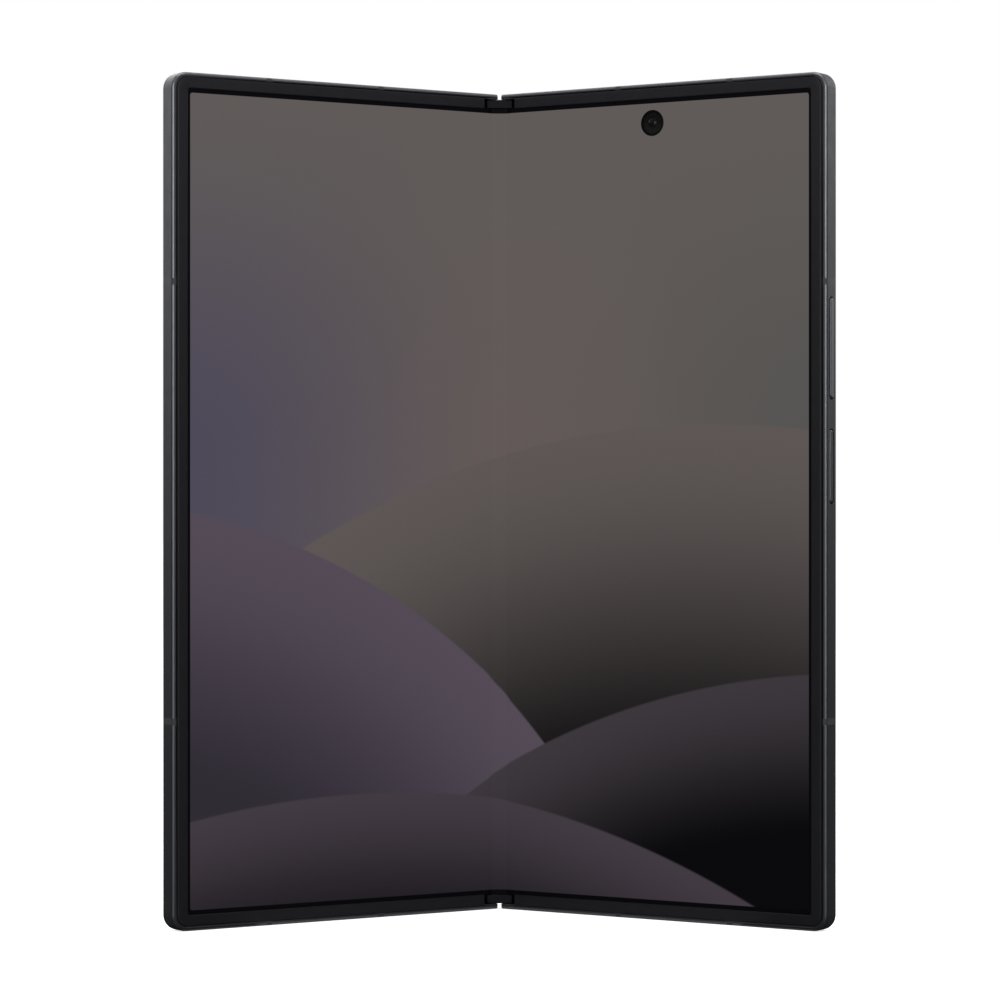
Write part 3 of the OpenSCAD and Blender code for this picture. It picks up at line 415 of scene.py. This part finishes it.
# each key's face, the finish of its eased edge (on the power key a painted highlight), how far it stands out,
# and how wide the edge is
for key, surface, edge_surface, rise, ease in (
        ("volume_key", key_metal_painted_light, key_metal_painted_light, 0.25, 0.22), ("power_key", power_metal, bright_metal_and_painted_highlight, 0.06, 0.2)):
    def outer_edge(middle):
        return abs(laid_flat(1, middle)[0] - HALF_W - rise) < EDGE_NEAR
    shape = welded(key, ease, outer_edge)
    outer = [(vert, laid_flat(1, vert.co)) for vert in shape.verts
             if laid_flat(1, vert.co)[0] > HALF_W - KEY_OUTER]
    low, high = min(place[2] for _, place in outer), max(place[2] for _, place in outer)
    for vert, (u, y, z) in outer:
        middle_z = min(max(z, low + KEY_R), high - KEY_R)
        away = Vector((y - KEY_Y, z - middle_z)).normalized() * KEY_TAPER
        vert.co = standing(1, u, y - away.x, z - away.y)
    cap = new_piece(f"{key}_cap", shape, surface, key, [key], 60)
    cap.data.materials.append(edge_surface)
    # on the power key the eased edge takes the brighter metal, a painted highlight
    for face in cap.data.polygons:
        if EDGE_LEAST < face.normal.dot(outward) < EDGE_MOST:
            face.material_index = 1
new_piece("card_tray_body", welded("card_tray", 0.03), anodised, "card_tray", ["card_tray"])

# ---------------------------------------------------------------------------------------------
# The back: chemically toughened glass on both halves, black over the cover display and satin
# etched over the cells, with the camera island, its lens rings and the flash. Each rear camera is
# a turned black barrel with stepped baffles down to a coated lens.
cover_black = grained(finish("cover_glass_black", (7, 7, 8), 0.06, Coat_Weight=0.5, Coat_Roughness=0.03),
                      0.4, 0.0003, 0.1, 0.02)
etched = grained(finish("etched_glass", (48, 49, 53), 0.32, Specular_IOR_Level=0.55),
                 0.05, 0.0012, 0.05, 0.04)
lens_black = grained(finish("barrel_black", (4, 4, 5), 0.5, Specular_IOR_Level=0.03), 0.1, 0.002, 0.2, 0.06)
lens_border = grained(finish("lens_border", (6, 6, 8), 0.06, Coat_Weight=0.6, Coat_Roughness=0.02),
                      0.4, 0.0003, 0.2, 0.01)
lens_coated = grained(finish("coated_lens", (12, 10, 34), 0.06, Coat_Weight=1.0, Coat_Roughness=0.02),
                      0.4, 0.0003, 0.2, 0.01)
flash_yellow = grained(finish("flash_diffuser", (238, 226, 176), 0.35), 0.25, 0.02, 0.08, 0.1)
ISLAND_RISE, GLASS_SINK, GLASS_T = 1.3, 0.5, 0.4
GLASS_IN_Y = THICK + ISLAND_RISE + GLASS_SINK
GLASS_OUT_Y = GLASS_IN_Y + GLASS_T
REAR_U, REAR_Z, REAR_STEP = 58.1, 126.4, 15.4
COVER_CAM_U, COVER_CAM_Z = 38.6, BODY_H - 6.5


def lathed(profile, places, side, segments=64):
    """Shapes turned about axes front to back; the profile is radius and depth, and a profile that
    doesn't start on the axis closes on itself."""
    shape = bmesh.new()
    for u, z in places:
        rings = []
        for r, depth in profile:
            turns = [2 * math.pi * i / segments for i in range(segments)] if r else [0.0]
            rings.append([shape.verts.new(standing(side, u + r * math.cos(a), depth, z + r * math.sin(a)))
                          for a in turns])
        pairs = list(zip(rings, rings[1:])) + ([(rings[-1], rings[0])] if profile[0][0] else [])
        for one, two in pairs:
            for i in range(segments):
                j = (i + 1) % segments
                if len(one) == 1:
                    shape.faces.new((one[0], two[i], two[j]))
                elif len(two) == 1:
                    shape.faces.new((one[i], two[0], one[j]))
                else:
                    shape.faces.new((one[i], two[i], two[j], one[j]))
    bmesh.ops.recalc_face_normals(shape, faces=shape.faces[:])
    return shape


def domed(radius, top, depth, towards):
    """The points of a dome: a part of a sphere from its top on the axis to its edge, facing front or back."""
    ball = (radius ** 2 + depth ** 2) / (2 * depth)
    radii = [radius * i / 8 for i in range(9)]
    return [(r, top - towards * (ball - math.sqrt(ball ** 2 - r ** 2))) for r in radii]


new_piece("cover_glass_pane", welded("cover_glass", 0.04), cover_black, "left_half", ["cover_glass"])
new_piece("rear_glass_pane", welded("rear_glass", 0.04), etched, "right_half", ["rear_glass"])
new_piece("camera_island_plate", welded("camera_island", 0.12), anodised, "right_half", ["camera_island"])
new_piece("lens_ring_set", welded("lens_rings", 0.15), bright_metal_and_painted_highlight, "right_half", ["lens_rings"])
rear_lenses = [(REAR_U, REAR_Z + k * REAR_STEP) for k in (-1, 0, 1)]
border_profile = [(4.2, GLASS_IN_Y), (5.55, GLASS_IN_Y), (5.55, GLASS_OUT_Y - 0.04), (5.51, GLASS_OUT_Y),
                  (4.26, GLASS_OUT_Y), (4.2, GLASS_OUT_Y - 0.06)]
new_piece("lens_glass_set", lathed(border_profile, rear_lenses, 1), lens_border, "right_half",
          ["lens_glasses"])
baffles = [(4.1, 5.75), (3.7, 5.55), (3.66, 5.3), (3.2, 5.1), (3.16, 4.85), (2.7, 4.65), (2.66, 4.3),
           (0, 4.3)]
barrel_profile = [(0, 1.3), (5.5, 1.3), (5.5, GLASS_IN_Y - 0.05), (4.25, GLASS_IN_Y - 0.05)] + baffles
new_piece("rear_camera_barrels", lathed(barrel_profile, rear_lenses, 1), lens_black, "right_half",
          ["camera_modules"], 20)
new_piece("rear_camera_lenses", lathed(domed(2.6, 5.0, 0.6, 1) + [(2.6, 4.2), (0, 4.2)], rear_lenses, 1),
          lens_coated, "right_half")
new_piece("flash_lens", welded("flash_light", 0.1), flash_yellow, "right_half", ["flash_light"])
window_profile = [(0, THICK - 0.2), (1.7, THICK - 0.2), (1.7, THICK + 0.002), (1.1, THICK + 0.002),
                  (0, THICK + 0.003)]
new_piece("cover_camera_window", lathed(window_profile, [(COVER_CAM_U, COVER_CAM_Z)], -1), lens_coated,
          "left_half")

# ---------------------------------------------------------------------------------------------
# The inner display: one flexible panel under a clear satin film, stiff on each half and bending
# at the hinge. It is lit, with a picture of soft dunes that fades into a black printed border.
film = finish("lit_panel", (2, 2, 3), 0.45, Specular_IOR_Level=0.02)
# the panel's face, thickness and inset, and where its edge stands back beside the end caps
PANEL_FRONT, PANEL_T, PANEL_IN, STRIP_Z, STRIP_U = 0.22, 0.38, 1.74, 2.87, 4.4
# half the width of the bend, and the outline of the lit area
BEND_W = 3.0
LIT_HALF_W, LIT_LOW, LIT_HIGH, LIT_R = 67.89, 3.83, 154.6, 0.5
LENS_U, LENS_Z, LENS_HOLE = 34.6, BODY_H - 7.5, 2.4
# the black ring round the hole, to where the picture starts and to where it is full, in decimetres
RING_IN, RING_OUT = 0.0242, 0.0252


def smooth_step(t):
    """A smooth share from 0 to 1, as far as t on the way between the two ends of the bend."""
    t = min(max(t, 0.0), 1.0)
    return t * t * (3 - 2 * t)


bend_start = Vector(turned(BEND_W, PANEL_FRONT + PANEL_T / 2, raised))
bend_end = Vector((0.0, turned(0, PANEL_FRONT + PANEL_T / 2, 0)[1]))


def bent(u, y):
    """Where a point of the flat panel is with the halves raised: it turns by a smooth share of the
    halves' angle, and that share hangs on where it is, so it is found in rounds."""
    share = smooth_step(u / BEND_W)
    for _ in range(60):
        x, depth = turned(u, y, raised * share)
        across = bend_start - bend_end
        t = (Vector((x, depth)) - bend_end).dot(across) / across.length_squared
        share = 0.5 * share + 0.5 * smooth_step(t)
    return x, depth


lit = film.node_tree
picture = new_node(lit, "ShaderNodeUVMap", uv_map="panel")
axes = new_node(lit, "ShaderNodeSeparateXYZ")
wire(lit, (picture.outputs[0], axes.inputs[0]))


def worked(tree, operation, a, b=None):
    """One step of arithmetic, worked out over a pattern; a and b are sockets or plain numbers."""
    new = new_node(tree, "ShaderNodeMath", operation=operation)
    for index, value in enumerate((a, b)):
        if value is None:
            continue
        if isinstance(value, (int, float)):
            new.inputs[index].default_value = value
        else:
            wire(tree, (value, new.inputs[index]))
    return new.outputs[0]


def between(tree, value, low, high):
    """A pattern that is 0 below low, 1 above high and smooth in between."""
    new = new_node(tree, "ShaderNodeMapRange", interpolation_type="SMOOTHSTEP")
    new.inputs["From Min"].default_value = low
    new.inputs["From Max"].default_value = high
    wire(tree, (value, new.inputs["Value"]))
    return new.outputs[0]


def mixed(tree, share, a, b):
    """A blend of two colours, from all of a where share is 0 to all of b where it is 1."""
    new = new_node(tree, "ShaderNodeMix", data_type="RGBA")
    wire(tree, (share, new.inputs["Factor"]))
    for words, value in (("A", a), ("B", b)):
        if isinstance(value, (list, tuple)):
            new.inputs[words].default_value = value
        else:
            wire(tree, (value, new.inputs[words]))
    return new.outputs["Result"]


def far_from(tree, x, z, cx, cz):
    """Distance from a point of the picture, in decimetres."""
    dx = worked(tree, "SUBTRACT", x, cx)
    dz = worked(tree, "SUBTRACT", z, cz)
    squares = worked(tree, "ADD", worked(tree, "MULTIPLY", dx, dx), worked(tree, "MULTIPLY", dz, dz))
    return worked(tree, "SQRT", squares)


# the sky: three tones across and a fourth towards the top, measured in decimetres as all the picture
px, pz = axes.outputs["X"], axes.outputs["Y"]
left_half_sky = mixed(lit, between(lit, px, -0.7, 0.05), screen_tone(78, 73, 88), screen_tone(98, 89, 87))
sky = mixed(lit, between(lit, px, 0.05, 0.7), left_half_sky, screen_tone(86, 84, 82))
sky = mixed(lit, between(lit, pz, 0.9, 1.6), sky, screen_tone(95, 90, 88))
# the dunes: middle and radius of each round back, its tones at the crest and the foot, and its fade
dunes = (
    (0.46, -0.92, 1.86, (93, 86, 85), (12, 11, 13), 0.66),
    (-0.95, -0.62, 1.42, (83, 74, 86), (46, 42, 50), 0.52),
    (0.80, -1.18, 1.66, (60, 55, 60), (5, 5, 6), 0.30),
    (-0.30, -1.74, 1.98, (66, 58, 66), (30, 27, 32), 0.24),
)
for cx, cz, radius, crest, foot, fade in dunes:
    inside_by = worked(lit, "SUBTRACT", radius, far_from(lit, px, pz, cx, cz))
    slope = mixed(lit, between(lit, inside_by, -0.02, fade), screen_tone(*crest), screen_tone(*foot))
    sky = mixed(lit, between(lit, inside_by, 0.0, 0.006), sky, slope)
edge_x = worked(lit, "SUBTRACT", worked(lit, "ABSOLUTE", px), (LIT_HALF_W - LIT_R) / 100)
from_middle = worked(lit, "SUBTRACT", pz, (LIT_LOW + LIT_HIGH) / 200)
edge_z = worked(lit, "SUBTRACT", worked(lit, "ABSOLUTE", from_middle),
                (LIT_HIGH - LIT_LOW) / 200 - LIT_R / 100)
out_x, out_z = worked(lit, "MAXIMUM", edge_x, 0.0), worked(lit, "MAXIMUM", edge_z, 0.0)
beyond = worked(lit, "SQRT", worked(lit, "ADD", worked(lit, "MULTIPLY", out_x, out_x),
                                     worked(lit, "MULTIPLY", out_z, out_z)))
lens_far = far_from(lit, px, pz, LENS_U / 100, LENS_Z / 100)
unlit = worked(lit, "MAXIMUM", between(lit, beyond, LIT_R / 100 - 0.0004, LIT_R / 100 + 0.0006),
               worked(lit, "SUBTRACT", 1.0, between(lit, lens_far, RING_IN, RING_OUT)))
seen = mixed(lit, unlit, sky, screen_tone(3, 3, 4))
film_shader = lit.nodes["Principled BSDF"]
film_shader.inputs["Emission Strength"].default_value = 1.0
wire(lit, (seen, film_shader.inputs["Emission Color"]))
ripple = new_node(lit, "ShaderNodeTexNoise", Scale=900.0, Detail=2.0)
ripple_bump = new_node(lit, "ShaderNodeBump", Distance=0.000002, Strength=0.4)
wire(lit, (picture.outputs[0], ripple.inputs["Vector"]),
     (ripple.outputs["Fac"], ripple_bump.inputs["Height"]),
     (ripple_bump.outputs[0], film_shader.inputs["Normal"]))

STRIP_ROWS = (8.0, 40.0, MIDDLE, 120.0, LENS_Z - 4, LENS_Z, LENS_Z + 4)
LENS_ROW = STRIP_ROWS.index(LENS_Z) + 1
QUARTER_STEPS = 18


def edge_at(u):
    """How far the panel's lower edge lies from the lower end of its half."""
    far, r = HALF_W - PANEL_IN, CORNER_R - PANEL_IN
    if u < STRIP_U:
        return STRIP_Z
    return PANEL_IN + (r - math.sqrt(max(r * r - (u - far + r) ** 2, 0)) if u > far - r else 0.0)


def strip(u, low):
    """The points of the panel along one line up."""
    return [(u, z) for z in (low, *STRIP_ROWS, BODY_H - low)]


def screen_half(side, half, nodes):
    """One half of the panel: cut flat, with the hole for the inner camera, then bent at the hinge."""
    r = CORNER_R - PANEL_IN
    columns = [0.0, 0.25] + [0.5 + 0.125 * i for i in range(26)] + [STRIP_U, 8.0, 20.0]
    columns += [LENS_U - 4, LENS_U, LENS_U + 4, 50.0]
    columns += [HALF_W - PANEL_IN - r + r * math.sin(math.radians(a)) for a in range(0, 91, 10)]
    strips = [strip(u, edge_at(u)) for u in columns]
    # beside the end caps the panel's edge has a step, so two lines lie there in one place
    strips.insert(columns.index(STRIP_U), strip(STRIP_U, STRIP_Z))
    lens_column = columns.index(LENS_U) + 1
    shape = bmesh.new()
    flat_map = shape.loops.layers.uv.new("panel")
    front, back = ([[shape.verts.new((u, y, z)) for u, z in points] for points in strips]
                   for y in (PANEL_FRONT, PANEL_FRONT + PANEL_T))
    last_column, last_row = len(strips) - 1, len(strips[0]) - 1
    for i in range(last_column):
        for j in range(last_row):
            if side > 0 and i in (lens_column - 1, lens_column) and j in (LENS_ROW - 1, LENS_ROW):
                continue
            shape.faces.new((front[i][j], front[i + 1][j], front[i + 1][j + 1], front[i][j + 1]))
            shape.faces.new((back[i][j + 1], back[i + 1][j + 1], back[i + 1][j], back[i][j]))
        for j in (0, last_row):
            shape.faces.new((front[i][j], back[i][j], back[i + 1][j], front[i + 1][j]))
    for i in (0, last_column):
        for j in range(last_row):
            shape.faces.new((front[i][j], front[i][j + 1], back[i][j + 1], back[i][j]))
    if side > 0:
        turns = [math.pi / 2 * k / QUARTER_STEPS for k in range(4 * QUARTER_STEPS)]
        rims = [[shape.verts.new((LENS_U + LENS_HOLE * math.cos(a), y, LENS_Z + LENS_HOLE * math.sin(a)))
                 for a in turns] for y in (PANEL_FRONT, PANEL_FRONT + PANEL_T)]
        # the panel's points about the hole, from its outer side upward and round
        around = [(1, 0), (1, 1), (0, 1), (-1, 1), (-1, 0), (-1, -1), (0, -1), (1, -1), (1, 0)]
        for layer, rim in zip((front, back), rims):
            for q in range(4):
                outside = [layer[lens_column + i][LENS_ROW + j] for i, j in around[2 * q:2 * q + 3]]
                quarter = range((q + 1) * QUARTER_STEPS, q * QUARTER_STEPS - 1, -1)
                shape.faces.new(outside + [rim[k % len(rim)] for k in quarter])
        for k in range(len(turns)):
            after = (k + 1) % len(turns)
            shape.faces.new((rims[0][k], rims[1][k], rims[1][after], rims[0][after]))
    bmesh.ops.remove_doubles(shape, verts=shape.verts[:], dist=1e-5)
    bmesh.ops.dissolve_degenerate(shape, edges=shape.edges[:], dist=1e-6)
    bmesh.ops.recalc_face_normals(shape, faces=shape.faces[:])
    for face in shape.faces:
        for loop in face.loops:
            loop[flat_map].uv = (side * loop.vert.co.x / 100, loop.vert.co.z / 100)
    for vert in shape.verts:
        u, y, z = vert.co
        x, depth = bent(u, y) if u < 2 * BEND_W else turned(u, y, raised)
        vert.co = Vector((side * x, depth, z)) / 1000
    if side < 0:
        bmesh.ops.reverse_faces(shape, faces=shape.faces[:])
    piece = new_piece(f"{half}_screen", shape, film, None, smooth=30)
    piece.modifiers["even_normals"].weight = 50
    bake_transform(piece)
    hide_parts(*nodes)


screen_half(-1, "left", ["left_display"])
screen_half(1, "right", ["right_display", "display_fold"])

# ---------------------------------------------------------------------------------------------
# The bezel of each half: a slim moulded rim, satin black, raised round the panel to keep the two
# halves apart when shut. It is glued into the frame beside the metal rim.
BEZEL_END = 3.9
bezel_black = grained(finish("bezel_black", (12, 11, 14), 0.42, Specular_IOR_Level=0.13), 0.05, 0.0012, 0.06,
                      0.05)
# the section of the rim: inset, depth, corner radius, and what the inset changes by along the two ends
bezel_section = (
    (0.99, 0.80, 2.01, -0.12), (0.99, 0.26, 2.01, -0.12), (1.02, 0.14, 1.98, -0.15),
    (1.09, 0.06, 1.91, -0.17), (1.19, 0.015, 1.81, -0.15), (1.32, 0.0, 1.7, -0.1),
    (2.99, 0.0, 0.8, -0.2), (3.08, 0.015, 0.71, -0.2), (3.14, 0.05, 0.65, -0.2),
    (3.18, 0.11, 0.61, -0.2), (3.19, 0.22, 0.6, -0.2), (1.69, 0.22, 1.31, 0.0), (1.69, 0.80, 1.31, 0.0),
)


def rim_line(inset, r, more, steps=12):
    """The outline of a half, from the hinge's lower end round the outer side to its upper end."""
    far, end_in = HALF_W - inset, inset + more
    line = [(BEZEL_END, end_in), (20.0, end_in), (45.0, end_in)]
    line += [(far - r + r * math.sin(a), end_in + r - r * math.cos(a))
             for a in (math.pi / 2 * i / steps for i in range(steps + 1))]
    return line + [(u, BODY_H - z) for u, z in reversed(line)]


for side, half in ((-1, "left"), (1, "right")):
    shape = bmesh.new()
    rings = [[shape.verts.new(standing(side, u, depth, z)) for u, z in rim_line(inset, r, more)]
             for inset, depth, r, more in bezel_section]
    for k, ring in enumerate(rings):
        after = rings[(k + 1) % len(rings)]
        for i in range(len(ring) - 1):
            shape.faces.new((ring[i], ring[i + 1], after[i + 1], after[i]))
    shape.faces.new([ring[0] for ring in rings])
    shape.faces.new([ring[-1] for ring in reversed(rings)])
    bmesh.ops.recalc_face_normals(shape, faces=shape.faces[:])
    new_piece(f"{half}_bezel_rim", shape, bezel_black, f"{half}_half", [f"{half}_bezel"])

# ---------------------------------------------------------------------------------------------
# The camera behind the inner display: a black barrel in the hole of the panel, with a wide dark
# glass that closes it just behind the panel's face and a small dome at its middle.
lens_glass = grained(finish("inner_lens", (13, 12, 12), 0.1, Specular_IOR_Level=0.05), 0.4, 0.0003, 0.2, 0.02)
inner_lens = [(LENS_U, LENS_Z)]
inner_barrel = [(0, 1.9), (2.3, 1.9), (2.35, 0.36), (2.3, 0.31), (2.08, 0.32), (2.04, 0.46), (2.0, 0.6),
                (0, 0.6)]
new_piece("inner_camera_barrel", lathed(inner_barrel, inner_lens, 1), lens_black, "right_half",
          ["inner_camera"], 20)
inner_glass = domed(0.95, 0.24, 0.216, -1) + [(2.03, 0.42), (2.03, 0.9), (0, 0.9)]
new_piece("inner_camera_lens", lathed(inner_glass, inner_lens, 1), lens_glass, "right_half", smooth=25)

# ---------------------------------------------------------------------------------------------
# The studio: a white floor that keeps the contact shadow, a white surround, a soft lamp above, two
# in front for the front edges and two behind for the side walls. A dark card on each side, seen only
# in reflections, gives the polished faces their depth.
FLOOR_DROP = -0.00002
floor_mesh = bpy.data.meshes.new("studio_floor")
floor_mesh.from_pydata([(-6, -6, 0), (6, -6, 0), (6, 6, 0), (-6, 6, 0)], [], [(0, 1, 2, 3)])
floor = bpy.data.objects.new("studio_floor", floor_mesh)
floor.location.z = FLOOR_DROP
bpy.context.scene.collection.objects.link(floor)
floor_paint = finish("floor_paint", (250, 250, 250), 0.9, Specular_IOR_Level=0.0)
floor_shader = floor_paint.node_tree.nodes["Principled BSDF"]
seen_by = new_node(floor_paint.node_tree, "ShaderNodeLightPath")
lift = new_node(floor_paint.node_tree, "ShaderNodeMapRange", To_Min=0.0, To_Max=0.6)
floor_shader.inputs["Emission Color"].default_value = (1, 1, 1, 1)
wire(floor_paint.node_tree, (seen_by.outputs["Is Camera Ray"], lift.inputs["Value"]),
     (lift.outputs[0], floor_shader.inputs["Emission Strength"]))
floor_mesh.materials.append(floor_paint)

card_paper = finish("card_paper", (108, 108, 111), 0.9, Specular_IOR_Level=0.0)
# each card lies on the floor beside the phone and stands up along its outer side; in metres
CARD_NEAR, CARD_FAR, CARD_TOP, CARD_FRONT, CARD_BACK = 0.045, 0.42, 0.21, -0.42, 0.38
CARD_LOW, CARD_TURN = 0.0003, -0.02
for side, name in ((-1, "left_dark_card"), (1, "right_dark_card")):
    corners = [(0.0, CARD_FRONT, CARD_LOW), (CARD_FAR, CARD_FRONT, CARD_LOW),
               (CARD_FAR, CARD_FRONT, CARD_TOP),
               (0.0, CARD_TURN, CARD_LOW), (CARD_NEAR, CARD_TURN, CARD_LOW), (CARD_FAR, CARD_TURN, CARD_LOW),
               (CARD_FAR, CARD_TURN, CARD_TOP), (CARD_NEAR, CARD_BACK, CARD_LOW),
               (CARD_FAR, CARD_BACK, CARD_LOW), (CARD_FAR, CARD_BACK, CARD_TOP)]
    card_mesh = bpy.data.meshes.new(name)
    card_mesh.from_pydata([(side * x, y, z) for x, y, z in corners], [],
                          [(0, 1, 5, 4, 3), (1, 2, 6, 5), (4, 5, 8, 7), (5, 6, 9, 8)])
    card_mesh.materials.append(card_paper)
    card = bpy.data.objects.new(name, card_mesh)
    bpy.context.scene.collection.objects.link(card)
    card.visible_camera = False
    card.visible_diffuse = False
    card.visible_shadow = False
    card.visible_transmission = False

scene = bpy.context.scene
world = bpy.data.worlds.new("studio_surround")
scene.world = world
world.use_nodes = True
surround = world.node_tree
for old in list(surround.nodes):
    surround.nodes.remove(old)
white_air = new_node(surround, "ShaderNodeBackground", Color=(1, 1, 1, 1))
soft_air = new_node(surround, "ShaderNodeBackground", Color=(0.96, 0.98, 1.0, 1), Strength=0.5)
rays = new_node(surround, "ShaderNodeLightPath")
camera_or_glossy = new_node(surround, "ShaderNodeMath", operation="MAXIMUM")
seen_ray = new_node(surround, "ShaderNodeMath", operation="MAXIMUM")
choose = new_node(surround, "ShaderNodeMixShader")
world_out = new_node(surround, "ShaderNodeOutputWorld")
wire(surround, (rays.outputs["Is Camera Ray"], camera_or_glossy.inputs[0]),
     (rays.outputs["Is Glossy Ray"], camera_or_glossy.inputs[1]),
     (camera_or_glossy.outputs[0], seen_ray.inputs[0]),
     (rays.outputs["Is Transmission Ray"], seen_ray.inputs[1]), (seen_ray.outputs[0], choose.inputs[0]),
     (soft_air.outputs[0], choose.inputs[1]), (white_air.outputs[0], choose.inputs[2]),
     (choose.outputs[0], world_out.inputs["Surface"]))

LAMP_AIM = Vector((0.0, -0.02, 0.14))
for name, place, wide, tall, power in (
        ("top_softbox", (0.0, -0.05, 0.8), 0.5, 0.5, 3.0),
        ("left_front_softbox", (-0.48, -0.84, 0.3), 0.3, 0.3, 3.4),
        ("right_front_softbox", (0.48, -0.84, 0.3), 0.3, 0.3, 3.4),
        ("left_rim_softbox", (-0.38, 0.17, 0.27), 0.16, 0.34, 0.6),
        ("right_rim_softbox", (0.38, 0.17, 0.27), 0.16, 0.34, 0.6),
        ("rear_softbox", (-0.5, 1.1, 0.9), 0.7, 0.7, 6.0)):
    lamp_data = bpy.data.lights.new(name, "AREA")
    lamp_data.shape = "RECTANGLE"
    lamp_data.size = wide
    lamp_data.size_y = tall
    lamp_data.energy = power
    lamp = bpy.data.objects.new(name, lamp_data)
    lamp.location = place
    lamp.rotation_euler = (LAMP_AIM - Vector(place)).to_track_quat("-Z", "Y").to_euler()
    scene.collection.objects.link(lamp)

# the camera as it was fitted to the photograph
camera_data = bpy.data.cameras.new("product_camera")
camera_data.lens = 127.9
camera_data.sensor_width = 36.0
camera_data.shift_x = 0.0005
camera_data.shift_y = 0.0016
camera_data.clip_start, camera_data.clip_end = 0.01, 50
camera = bpy.data.objects.new("product_camera", camera_data)
camera.location = (0.0, -0.6737, 0.0792)
camera.rotation_euler = (math.pi / 2, 0, 0)
scene.collection.objects.link(camera)
scene.camera = camera
scene.view_settings.view_transform = "Standard"
